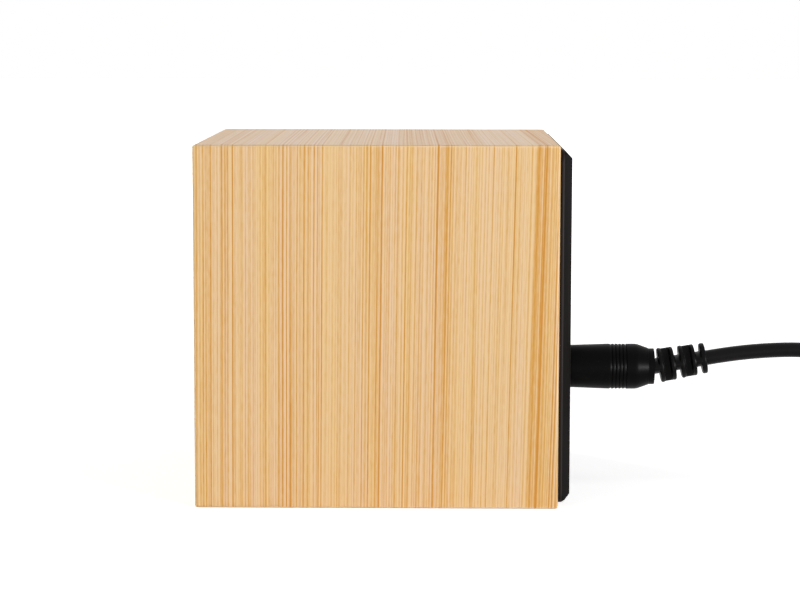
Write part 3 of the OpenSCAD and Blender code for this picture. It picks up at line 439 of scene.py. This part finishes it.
def mouldedSurface(tree, shader, rough, grain, depth, specular):
    where = objectPlace(tree)
    fine = noise(tree, where, 1 / (grain * mm), *moulded["grainNoise"])
    cloud = noise(tree, where, *moulded["cloudNoise"])
    limits = (rough - moulded["roughSpread"], rough + moulded["roughSpread"])
    tree.links.new(stretch(tree, cloud, *moulded["cloudRange"], *limits), shader.inputs["Roughness"])
    setShader(shader, **{"Specular IOR Level": specular})
    bumpFrom(tree, shader, fine, depth, moulded["grainStrength"])
    return cloud


def plasticFinish(name, colour, rough, grain=0.25, depth=0.008, specular=0.5):
    finish, tree, shader = newFinish(name)
    cloud = mouldedSurface(tree, shader, rough, grain, depth, specular)
    lighter = tuple(min(1, c * (1 + moulded["cloudSheen"]) + moulded["cloudLift"]) for c in colour)
    tree.links.new(mixColour(tree, cloud, colour, lighter), shader.inputs["Base Color"])
    return finish


# the cover's colour is painted light and shade by depth: a warm rim from painted bounce light, a painted
# highlight along its edge, a slope in painted shade and a paler face whose recesses keep the painted shade;
# all of it finely textured
cover = {
    "paintedZones": (  # mm along the clock's depth, colour painted as light and shade
        (29.44, (0.0178, 0.0128, 0.0112)),  # end of the rim, warm with painted bounce light from the wood
        (29.58, (0.034, 0.029, 0.0285)),  # its edge, a painted highlight
        (29.74, (0.0088, 0.0066, 0.0066)),  # slope, in painted shade
        (30.93, (0.0088, 0.0066, 0.0066)),
        (30.99, (0.021, 0.0182, 0.0178)),  # face, painted lighter so that its recesses stay in painted shade
    ),
    "dust": grey(0.05),
    "dustShare": 0.06,
    "rough": 0.42,
    "grain": 0.3,  # mm
    "grainDepth": 0.02,
    "specular": 0.05,
}


def coverFinish(name):
    finish, tree, shader = newFinish(name)
    surface = (cover["rough"], cover["grain"], cover["grainDepth"], cover["specular"])
    cloud = mouldedSurface(tree, shader, *surface)
    first, last = cover["paintedZones"][0][0], cover["paintedZones"][-1][0]
    stops = [((depth - first) / (last - first), colour) for depth, colour in cover["paintedZones"]]
    back = axesOf(tree, objectPlace(tree))["Y"]
    # painted light and shade, banded by depth along the clock
    colour = ramp(tree, stretch(tree, back, first * mm, last * mm), stops)
    dusty = stretch(tree, cloud, *moulded["cloudRange"], 0.0, cover["dustShare"])
    tree.links.new(mixColour(tree, dusty, colour, cover["dust"]), shader.inputs["Base Color"])
    return finish


# plated metals, brushed along the clock's width
plating = {
    "brush": (1, 9, 9),
    "brushNoise": (900, 2.0, 0.6),  # lines per m, detail and roughness
    "brushRange": (0.3, 0.7),
    "dull": 0.9,
    "roughSpread": (-0.06, 0.08),
}


def metalFinish(name, colour, rough):
    finish, tree, shader = newFinish(name)
    brushed = noise(tree, objectPlace(tree, plating["brush"]), *plating["brushNoise"])
    duller = tuple(c * plating["dull"] for c in colour)
    tree.links.new(mixColour(tree, brushed, duller, colour), shader.inputs["Base Color"])
    limits = [rough + more for more in plating["roughSpread"]]
    tree.links.new(stretch(tree, brushed, *plating["brushRange"], *limits), shader.inputs["Roughness"])
    setShader(shader, Metallic=1.0)
    return finish


# circuit boards: copper tracks show through the green lacquer, with bare pads here and there
board = {
    "lacquer": (0.012, 0.08, 0.033),
    "track": (0.028, 0.15, 0.06),
    "pad": (0.55, 0.5, 0.4),
    "cell": 5.0,  # mm, pitch of the groups of tracks
    "tracks": 5,  # in each group
    "trackShare": 0.45,
    "trackHeight": 0.03,  # mm
    "trackShading": 0.5,
    "padSize": 0.07,
    "rough": 0.35,
}


def boardFinish(name):
    finish, tree, shader = newFinish(name)
    xyz = axesOf(tree, objectPlace(tree))
    flat = addNode(tree, "ShaderNodeCombineXYZ", {0: xyz["X"], 1: xyz["Z"]}).outputs[0]
    inputs = {"Vector": flat, "Scale": 1 / (board["cell"] * mm)}
    groups = addNode(tree, "ShaderNodeTexVoronoi", inputs, voronoi_dimensions="2D", distance="CHEBYCHEV")
    away = groups.outputs["Distance"]
    step = maths(tree, "FRACT", maths(tree, "MULTIPLY", away, board["tracks"]))
    track = maths(tree, "LESS_THAN", step, board["trackShare"])
    pad = maths(tree, "LESS_THAN", away, board["padSize"])
    colour = mixColour(tree, track, board["lacquer"], board["track"])
    tree.links.new(mixColour(tree, pad, colour, board["pad"]), shader.inputs["Base Color"])
    tree.links.new(pad, shader.inputs["Metallic"])
    setShader(shader, Roughness=board["rough"])
    bumpFrom(tree, shader, track, board["trackHeight"], board["trackShading"])
    return finish


# cells: a printed sleeve between bare metal ends, the middle cell the other way up
cells = {
    "middle": 30.0,  # mm, height of the bay's middle
    "halfWidth": 5.3,
    "reach": 24.0,
    "bands": (  # mm from the middle towards the button end, colour, metal
        (-24.0, grey(0.55), 1.0),
        (-20.1, (0.012, 0.02, 0.035), 0.0),
        (9.0, grey(0.62), 0.0),
        (10.2, (0.05, 0.11, 0.19), 0.0),
        (20.6, grey(0.62), 0.0),
        (22.3, grey(0.55), 1.0),
    ),
    "wornNoise": (400, 3.0, 0.6),  # spots per m, detail and roughness
    "wornRange": (0.5, 0.8),
    "wornShare": 0.06,
    "wornColour": grey(0.3),
    "rough": 0.28,
    "roughRange": (0.3, 0.7),
    "roughSpread": (-0.05, 0.1),
}


def cellFinish(name):
    finish, tree, shader = newFinish(name)
    where = objectPlace(tree)
    xyz = axesOf(tree, where)
    turned = maths(tree, "LESS_THAN", maths(tree, "ABSOLUTE", xyz["X"]), cells["halfWidth"] * mm)
    way = stretch(tree, turned, 0.0, 1.0, 1.0, -1.0)
    along = maths(tree, "MULTIPLY", maths(tree, "SUBTRACT", xyz["Z"], cells["middle"] * mm), way)
    reach = cells["reach"]
    share = stretch(tree, along, -reach * mm, reach * mm)
    colours, metals = [], []
    for place, colour, metal in cells["bands"]:
        stop = (place + reach) / (2 * reach)
        colours.append((stop, colour))
        metals.append((stop, grey(metal)))
    printed = ramp(tree, share, colours, "CONSTANT")
    worn = noise(tree, where, *cells["wornNoise"])
    spots = stretch(tree, worn, *cells["wornRange"], 0.0, cells["wornShare"])
    tree.links.new(mixColour(tree, spots, printed, cells["wornColour"]), shader.inputs["Base Color"])
    tree.links.new(ramp(tree, share, metals, "CONSTANT"), shader.inputs["Metallic"])
    limits = [cells["rough"] + more for more in cells["roughSpread"]]
    tree.links.new(stretch(tree, worn, *cells["roughRange"], *limits), shader.inputs["Roughness"])
    return finish


# ribbon cables: wires side by side, with a groove between each two, painted darker as shade
ribbon = {
    "colour": grey(0.5),
    # colour of the painted shade in the grooves
    "shadedGroove": grey(0.25),
    "grooveFrom": 0.5,  # of the wave from wire to wire
    "grooveDepth": -0.1,  # mm
    "grooveShading": 0.6,
    "wire": 1.0,  # mm
    "edge": 18.6,  # mm from the clock's middle
    "rough": 0.5,
}


def ribbonFinish(name):
    finish, tree, shader = newFinish(name)
    across = maths(tree, "ABSOLUTE", axesOf(tree, objectPlace(tree))["X"])
    fromEdge = maths(tree, "SUBTRACT", across, ribbon["edge"] * mm)
    wave = maths(tree, "COSINE", maths(tree, "MULTIPLY", fromEdge, 2 * math.pi / (ribbon["wire"] * mm)))
    shadedGroove = stretch(tree, wave, ribbon["grooveFrom"], 1.0)
    # painted shade in the grooves
    tree.links.new(mixColour(tree, shadedGroove, ribbon["colour"], ribbon["shadedGroove"]), shader.inputs["Base Color"])
    setShader(shader, Roughness=ribbon["rough"])
    bumpFrom(tree, shader, shadedGroove, ribbon["grooveDepth"], ribbon["grooveShading"])
    return finish


finishes = {  # by the record's material slots
    "bamboo": bambooFinish("bambooWood", bamboo)[0],
    "black_plastic": plasticFinish(
        "blackPlastic", (0.0155, 0.0134, 0.013), rough=0.42, grain=0.3, depth=0.02, specular=0.05),
    "grey_plastic": plasticFinish("greyPlastic", grey(0.1), rough=0.5),
    "white_plastic": plasticFinish("whitePlastic", (0.8, 0.8, 0.77), rough=0.45),
    "circuit_board": boardFinish("boardGreen"),
    "chip_plastic": plasticFinish("chipBlack", grey(0.02), rough=0.55),
    "led_plastic": plasticFinish("ledResin", (0.85, 0.82, 0.6), rough=0.25),
    "steel": metalFinish("platedSteel", grey(0.4), rough=0.3),
    "plated_metal": metalFinish("nickelPlate", (0.5, 0.49, 0.47), rough=0.24),
    "gilt_metal": metalFinish("giltBrass", (0.85, 0.6, 0.25), rough=0.25),
    "cell_sleeve": cellFinish("cellSleeve"),
    "wire_sleeve": plasticFinish("wireSleeve", (0.5, 0.03, 0.03), rough=0.4),
    "ribbon_sleeve": ribbonFinish("ribbonSleeve"),
    "lead_rubber": plasticFinish(
        "plugRubber", (0.0006, 0.0004, 0.0005), rough=0.38, grain=0.4, depth=0.004, specular=0.05),
    "tie_plastic": plasticFinish("tiePlastic", grey(0.008), rough=0.5, specular=0.15),
}
shadedTopWood = bambooFinish("bambooTopShaded", shadedTopBamboo)[0]
rimWood = bambooFinish("bambooRim", rimBamboo)[0]
coverPlastic = coverFinish("coverPlastic")
cordSleeve = plasticFinish(
    "cordSleeve", (0.0042, 0.0036, 0.0037), rough=0.28, grain=0.5, depth=0.01, specular=0.1)
reliefRubber = plasticFinish(
    "reliefRubber", (0.003, 0.0026, 0.0027), rough=0.4, grain=0.4, depth=0.005, specular=0.07)


def dress(piece, finish):
    piece.data.materials.clear()
    piece.data.materials.append(finish)


slotOf = {}
for part in frame["record"]["subparts"]:
    slotOf[part["node"]] = part["material_slot"]
    dress(nodes[part["node"]], finishes[part["material_slot"]])
dress(powerCord, cordSleeve)
print("solids dressed:", len(slotOf), "with", len(finishes), "finishes")


# pieces that stand for a solid
def addPiece(name, mesh, body, finish, *solids, sharp=40.0):
    data = bpy.data.meshes.new(name)
    for face in mesh.faces:
        face.smooth = True
    mesh.to_mesh(data)
    mesh.free()
    data.set_sharp_from_angle(angle=math.radians(sharp))
    piece = bpy.data.objects.new(name, data)
    scene.collection.objects.link(piece)
    dress(piece, finish)
    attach(piece, body)
    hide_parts(*solids)
    return piece


def mergedCopy(solid, flat=0.5):  # faces that meet at less than flat degrees are one face
    mesh = bmesh.new()
    mesh.from_mesh(nodes[solid].data)
    bmesh.ops.remove_doubles(mesh, verts=mesh.verts[:], dist=closeEnough)
    bmesh.ops.dissolve_limit(
        mesh, angle_limit=math.radians(flat), verts=mesh.verts[:], edges=mesh.edges[:],
        use_dissolve_boundaries=False)
    return mesh


def keepFlat(piece):  # the small rounds at its edges don't bend the light on its large faces
    flat = piece.modifiers.new("flatFaces", "WEIGHTED_NORMAL")
    flat.keep_sharp = True


def weighSharpEdges(mesh, behind=None, angle=30.0):
    weight = mesh.edges.layers.float.new("bevel_weight_edge")
    for edge in mesh.edges:
        outside = behind is None or min(v.co.y for v in edge.verts) > behind * mm
        if outside and edge.is_manifold and edge.calc_face_angle() > math.radians(angle):
            edge[weight] = 1.0


def softenEdges(piece, width, segments=2):
    bevel = piece.modifiers.new("softEdges", "BEVEL")
    bevel.width = width * mm
    bevel.segments = segments
    bevel.limit_method = "WEIGHT"
    bevel.use_clamp_overlap = False
    bevel.harden_normals = True


# case: the four mitred panels, the top one of a calmer board in painted shade
panels = {
    "topPanel": "top_panel",
    "basePanel": "base_panel",
    "leftPanel": "left_panel",
    "rightPanel": "right_panel",
}
level = 0.99  # least upward share of a level face's normal

for name, solid in panels.items():
    panel = addPiece(name, mergedCopy(solid), "clock", finishes["bamboo"], solid)
    keepFlat(panel)
    if name == "topPanel":
        # upward faces of the top panel take the darker palette, painted shade
        panel.data.materials.append(shadedTopWood)
        for face in panel.data.polygons:
            face.material_index = 1 if face.normal.z > level else 0
print("case panels:", len(panels))

# moulded and metal pieces that keep the solid's shape and get soft edges:
# solid, body, edge width in mm, and the depth behind which edges are softened
softened = {
    "rearCover": ("rear_cover", "clock", 0.15, 29.4),
    "coverScrews": ("cover_screws", "clock", 0.08, 29.0),
    "batteryDoor": ("battery_door", "door", 0.15, None),
    "setButton": ("set_button", "set_key", 0.15, 30.0),
    "upButton": ("up_button", "up_key", 0.15, 30.0),
    "downButton": ("down_button", "down_key", 0.15, 30.0),
    "soundKnob": ("sound_switch_knob", "sound_knob", 0.2, None),
    "cordTie": ("cord_tie", "lead", 0.12, None),
    "usbGrip": ("usb_grip", "lead", 0.5, None),
    "usbShell": ("usb_shell", "lead", 0.1, None),
}

for name, (solid, body, width, behind) in softened.items():
    mesh = mergedCopy(solid)
    weighSharpEdges(mesh, behind)
    finish = coverPlastic if name == "rearCover" else finishes[slotOf[solid]]
    piece = addPiece(name, mesh, body, finish, solid)
    softenEdges(piece, width)
print("softened pieces:", len(softened))

# plug handle: turned from a profile of distance from the cover and radius
handle = {
    "axis": (21.6, 31.0, 22.7),  # mm, where its end touches the cover
    "bore": 1.77,
    "boreDepth": 4.0,
    "rootRadius": 3.55,
    "radius": 3.775,
    "edge": 0.15,
    "ribsFrom": 6.6,
    "ribs": 5,
    "ribPitch": 0.6,
    "ribDrop": 0.1,
    "ribParts": (0.2, 0.7),  # share of the pitch where its slope begins and ends
    "slitDepth": 0.26,
    "slitParts": (0.76, 0.9, 0.96),  # the slit's bottom begins and ends, and the next rib begins
    "bandEnd": 11.1,
    "bandEdge": 0.3,
    "coneEnd": 13.2,
    "coneRadius": 3.1,
    # soft shoulder of the cone: share of its length, share of its drop
    "shoulder": ((0.0, 0.02), (0.1, 0.06), (0.2, 0.13), (0.9, 0.9), (1.0, 1.0)),
    "collarStep": 0.05,
    "collarRadius": 3.0,
    "length": 14.2,
    "steps": 72,
}


def handleProfile():
    radius, drop, slit = handle["radius"], handle["ribDrop"], handle["slitDepth"]
    points = [
        (handle["boreDepth"], 0),
        (handle["boreDepth"], handle["bore"]),
        (0, handle["bore"]),
        (0, handle["rootRadius"] - handle["edge"]),
        (handle["edge"], handle["rootRadius"]),
    ]
    slopeStart, slopeEnd = handle["ribParts"]
    slitStart, slitEnd, nextRib = handle["slitParts"]
    rib = ((0, 0), (slopeStart, 0), (slopeEnd, drop), (slitStart, slit), (slitEnd, slit), (nextRib, 0))
    for i in range(handle["ribs"]):  # each rib slopes away from the clock, with a slit before the next
        start = handle["ribsFrom"] + i * handle["ribPitch"]
        for part, depth in rib:
            points.append((start + part * handle["ribPitch"], radius - depth))
    points.append((handle["bandEnd"] - handle["bandEdge"], radius))
    cone = handle["coneEnd"] - handle["bandEnd"]
    coneDrop = radius - handle["coneRadius"]
    for part, share in handle["shoulder"]:
        points.append((handle["bandEnd"] + part * cone, radius - share * coneDrop))
    points += [
        (handle["coneEnd"] + handle["collarStep"], handle["collarRadius"]),
        (handle["length"], handle["collarRadius"]),
        (handle["length"], 0),
    ]
    return points


def turn(mesh, profile, steps):
    knots = [mesh.verts.new((0, y * mm, r * mm)) for y, r in profile]
    chain = [mesh.edges.new(pair) for pair in zip(knots, knots[1:])]
    bmesh.ops.spin(
        mesh, geom=knots + chain, cent=(0, 0, 0), axis=(0, 1, 0), angle=math.radians(360), steps=steps,
        use_merge=True)
    bmesh.ops.remove_doubles(mesh, verts=mesh.verts[:], dist=closeEnough)


def addHandle():
    mesh = bmesh.new()
    turn(mesh, handleProfile(), handle["steps"])
    place = Matrix.Translation(Vector(handle["axis"]) * mm)
    bmesh.ops.transform(mesh, matrix=place, verts=mesh.verts[:])
    bmesh.ops.recalc_face_normals(mesh, faces=mesh.faces[:])
    addPiece("plugHandle", mesh, "lead", finishes["lead_rubber"], "plug_handle", sharp=30.0)


addHandle()
print("plug handle turned")

# strain relief: discs joined by webs, level and upright by turns, moulded in one
relief = {
    "length": 8.8,  # mm
    "slots": 5,
    "slotShare": 0.5,
    "radii": (2.95, 2.55),  # at the handle and at the cord
    "web": 1.25,  # half its thickness
    "corner": 0.24,
    "cornerCut": 0.3,  # share of the corner that is cut off
    "overlap": 0.35,  # webs reach into the discs
    "sideSlotExtra": 0.16,  # taken off the discs at a side slot
    "steps": 40,
    "voxel": 0.1,
    "flow": (0.5, 3),  # strength and passes of the smoothing
}


def discProfile(low, high, radius):
    soft = relief["corner"]
    cut = relief["cornerCut"] * soft
    return [
        (low, 0), (low, radius - soft), (low + cut, radius - cut), (low + soft, radius),
        (high - soft, radius), (high - cut, radius - cut), (high, radius - soft), (high, 0)]


def addWeb(mesh, middle, length, halfWidth, halfHeight):
    place = Matrix.Translation((0, middle * mm, 0))
    fit = Matrix.Diagonal((halfWidth * mm, length * mm, halfHeight * mm, 1))
    bmesh.ops.create_cone(
        mesh, cap_ends=True, segments=relief["steps"], radius1=1, radius2=1, depth=1,
        matrix=place @ fit @ Matrix.Rotation(math.radians(90), 4, "X"))


def addRelief():
    mesh = bmesh.new()
    pitch = relief["length"] / relief["slots"]
    slot = pitch * relief["slotShare"]
    thickEnd, thinEnd = relief["radii"]
    for i in range(relief["slots"]):
        low, high = i * pitch + slot, (i + 1) * pitch
        if i % 2:
            low += relief["sideSlotExtra"]
        elif i < relief["slots"] - 1:
            high -= relief["sideSlotExtra"]
        radius = thickEnd + (thinEnd - thickEnd) * (low + high) / 2 / relief["length"]
        turn(mesh, discProfile(low, high, radius), relief["steps"])
        width, height = (radius, relief["web"]) if i % 2 == 0 else (relief["web"], radius)
        addWeb(mesh, i * pitch + slot / 2, slot + 2 * relief["overlap"], width, height)
    tilt = Matrix.Rotation(math.radians(lead["tilt"]), 4, "X")
    handleEnd = Vector(handle["axis"]) + Vector((0, handle["length"], 0))
    bmesh.ops.transform(mesh, matrix=Matrix.Translation(handleEnd * mm) @ tilt, verts=mesh.verts[:])
    bmesh.ops.recalc_face_normals(mesh, faces=mesh.faces[:])
    piece = addPiece("strainRelief", mesh, "lead", reliefRubber, "strain_relief")
    fuse = piece.modifiers.new("fuse", "REMESH")
    fuse.mode = "VOXEL"
    fuse.voxel_size = relief["voxel"] * mm
    fuse.use_smooth_shade = True
    flow = piece.modifiers.new("flow", "SMOOTH")
    flow.factor, flow.iterations = relief["flow"]


addRelief()
print("strain relief moulded")

# front veneer: thin wood that the figures of the display shine through
veneer = {
    "front": bamboo["caseFront"],  # mm
    "middle": bamboo["caseMiddle"],
    "facing": 0.5,  # least forward share of its front's normals
    "field": (23.0, 9.0),  # half width and height of the finely divided part
    "divisions": (152, 60),
    "rings": ((29.497, -31.0), (29.688, -30.962), (29.85, -30.854), (29.397, -30.4)),  # half width, depth
    "figures": "1008",
    "figurePlaces": (-17.7, -6.9, 6.9, 17.7),
    "figureWidth": 8.4,
    "figureHeight": 16.0,
    "segmentWidth": 1.7,
    "segmentGap": 0.35,
    "colonHeight": 3.2,
    "colonWidth": 1.8,
    "blur": 0.3,  # mm, the wood softens the edges of the light
    "brightness": 0.85,
    "fibreShade": 0.6,  # share of the light that dark fibres let through
    "light": (1.0, 0.93, 0.8),
}
segmentsOf = {  # top, middle, bottom, upper left, upper right, lower left, lower right
    "0": (1, 0, 1, 1, 1, 1, 1),
    "1": (0, 0, 0, 0, 1, 0, 1),
    "8": (1, 1, 1, 1, 1, 1, 1),
}


def litSegments():  # middle and half length of each lit bar, level or upright
    bar = veneer["segmentWidth"]
    sideways = (veneer["figureWidth"] - bar) / 2
    upwards = (veneer["figureHeight"] - bar) / 4
    flat = sideways - veneer["segmentGap"] / 2
    tall = upwards - veneer["segmentGap"] / 2
    bars = [(0, z * upwards, flat, 0) for z in (2, 0, -2)]
    bars += [(x * sideways, z * upwards, 0, tall) for z in (1, -1) for x in (-1, 1)]
    lit = []
    for figure, place in zip(veneer["figures"], veneer["figurePlaces"]):
        for on, (x, z, halfX, halfZ) in zip(segmentsOf[figure], bars):
            if on:
                lit.append((place + x, z, halfX, halfZ))
    return lit


def glowAt(lit, x, z):
    half = veneer["segmentWidth"] / 2
    inside = []  # how far the point lies inside each lit shape, in mm
    for middleX, middleZ, halfX, halfZ in lit:
        along, beside = abs(x - middleX), abs(z - middleZ)
        if halfZ:
            along, beside = beside, along
        pointed = (halfX + halfZ - along - beside) * math.sqrt(0.5)
        inside.append(min(half - beside, pointed))
    for dot in (-1, 1):
        inside.append(veneer["colonWidth"] / 2 - math.hypot(x, z - dot * veneer["colonHeight"]))
    share = max(inside) / (2 * veneer["blur"]) + 0.5
    return eased(min(1, max(0, share)))


def veneerMesh():
    mesh = bmesh.new()
    across, upwards = veneer["divisions"]
    bmesh.ops.create_grid(mesh, x_segments=across, y_segments=upwards, size=1)
    middle = veneer["middle"]
    halfWidth, halfHeight = veneer["field"]
    upright = Matrix.Rotation(math.radians(90), 4, "X")
    fit = Matrix.Diagonal((halfWidth * mm, 1, halfHeight * mm, 1))
    place = Matrix.Translation((0, veneer["front"] * mm, middle * mm))
    bmesh.ops.transform(mesh, matrix=place @ fit @ upright, verts=mesh.verts[:])
    border = [edge for edge in mesh.edges if edge.is_boundary]
    for half, depth in veneer["rings"]:  # each ring is a square round the one before
        grown = bmesh.ops.extrude_edge_only(mesh, edges=border)["geom"]
        border = [g for g in grown if isinstance(g, bmesh.types.BMEdge) and g.is_boundary]
        for vert in {vert for edge in border for vert in edge.verts}:
            vert.co.x *= half / halfWidth
            vert.co.z = (middle + (vert.co.z / mm - middle) * half / halfHeight) * mm
            vert.co.y = depth * mm
        halfWidth = halfHeight = half
    bmesh.ops.holes_fill(mesh, edges=border, sides=0)
    bmesh.ops.recalc_face_normals(mesh, faces=mesh.faces[:])
    return mesh


def veneerFinish(name):
    finish, tree, shader, tone = bambooFinish(name, bamboo, "Z", veneer["middle"])
    glow = addNode(tree, "ShaderNodeAttribute", attribute_name="glow").outputs["Fac"]
    bright = veneer["brightness"]
    through = stretch(tree, tone, 0.0, 1.0, bright, bright * veneer["fibreShade"])
    tree.links.new(maths(tree, "MULTIPLY", glow, through), shader.inputs["Emission Strength"])
    setShader(shader, **{"Emission Color": (*veneer["light"], 1)})
    return finish


def addVeneer():
    piece = addPiece("frontVeneer", veneerMesh(), "clock", veneerFinish("bambooVeneer"), "front_veneer")
    piece.data.materials.append(rimWood)
    for face in piece.data.polygons:
        face.material_index = 0 if face.normal.y < -veneer["facing"] else 1
    lit = litSegments()
    glow = piece.data.attributes.new("glow", "FLOAT", "POINT")
    for vert, value in zip(piece.data.vertices, glow.data):
        if vert.co.y < veneer["front"] * mm + closeEnough:
            value.value = glowAt(lit, vert.co.x / mm, vert.co.z / mm - veneer["middle"])
    keepFlat(piece)


addVeneer()
print("front veneer lit")


# floor, sky and lamps
stage = {
    "floorSize": 3.0,
    "floorDrop": 0.00005,  # m below the base
    "floorColour": grey(0.9),
    "floorRough": 0.9,
    "floorSpecular": 0.1,
    "floorGlow": (0.62, 1.0),  # near the clock and far away
    "floorFade": (0.1, 0.45),  # m
    "white": (1, 1, 1, 1),
    "sky": 0.21,
    "aim": (0, 0, 0.03),
    "lamps": (  # place in m, width and height in m, watts, whether it only gleams
        ((0.82, 0.74, 0.5), 0.2, 0.96, 8.6, False),
        ((0.9, -0.65, 0.35), 0.5, 0.5, 1.4, False),
        ((-0.8, -0.8, 0.28), 0.3, 0.5, 7.5, False),
        ((-0.85, 0.75, 0.35), 0.5, 0.5, 1.6, False),
        ((0.82, 0.74, 0.042), 0.2, 0.024, 11.0, True),  # low strip, for the plug and the lead
    ),
}


def showsBackground(tree):  # 1 for rays that see the background, 0 for rays that light the object
    rays = addNode(tree, "ShaderNodeLightPath").outputs
    seen = maths(tree, "ADD", rays["Is Camera Ray"], rays["Is Glossy Ray"], clamp=True)
    return maths(tree, "ADD", seen, rays["Is Transmission Ray"], clamp=True)


def addFloor():
    mesh = bmesh.new()
    bmesh.ops.create_grid(mesh, x_segments=1, y_segments=1, size=stage["floorSize"])
    data = bpy.data.meshes.new("floor")
    mesh.to_mesh(data)
    mesh.free()
    floor = bpy.data.objects.new("floor", data)
    floor.location.z = -stage["floorDrop"]
    scene.collection.objects.link(floor)
    finish, tree, shader = newFinish("paleFloor")
    setShader(shader, **{"Base Color": (*stage["floorColour"], 1), "Emission Color": stage["white"]})
    setShader(shader, **{"Roughness": stage["floorRough"], "Specular IOR Level": stage["floorSpecular"]})
    where = addNode(tree, "ShaderNodeTexCoord").outputs["Object"]
    away = addNode(tree, "ShaderNodeVectorMath", {0: where}, operation="LENGTH").outputs["Value"]
    glow = stretch(tree, away, *stage["floorFade"], *stage["floorGlow"])
    tree.links.new(maths(tree, "MULTIPLY", showsBackground(tree), glow), shader.inputs["Emission Strength"])
    data.materials.append(finish)


def addSky():
    world = bpy.data.worlds.new("studio")
    scene.world = world
    world.use_nodes = True
    tree = world.node_tree
    background = tree.nodes["Background"]
    background.inputs["Color"].default_value = stage["white"]
    strength = stretch(tree, showsBackground(tree), 0.0, 1.0, stage["sky"], 1.0)
    tree.links.new(strength, background.inputs["Strength"])


def addLamps():
    for i, (place, width, height, power, gleams) in enumerate(stage["lamps"]):
        data = bpy.data.lights.new(f"softbox{i}", "AREA")
        data.shape = "RECTANGLE"
        data.size = width
        data.size_y = height
        data.energy = power
        lamp = bpy.data.objects.new(f"softbox{i}", data)
        lamp.visible_glossy = gleams
        lamp.visible_diffuse = not gleams
        lamp.location = place
        lamp.rotation_euler = (Vector(stage["aim"]) - Vector(place)).to_track_quat("-Z", "Y").to_euler()
        scene.collection.objects.link(lamp)


addFloor()
addSky()
addLamps()
scene.view_settings.view_transform = "Standard"
print("stage lit:", len(stage["lamps"]), "lamps")

bpy.context.view_layer.update()
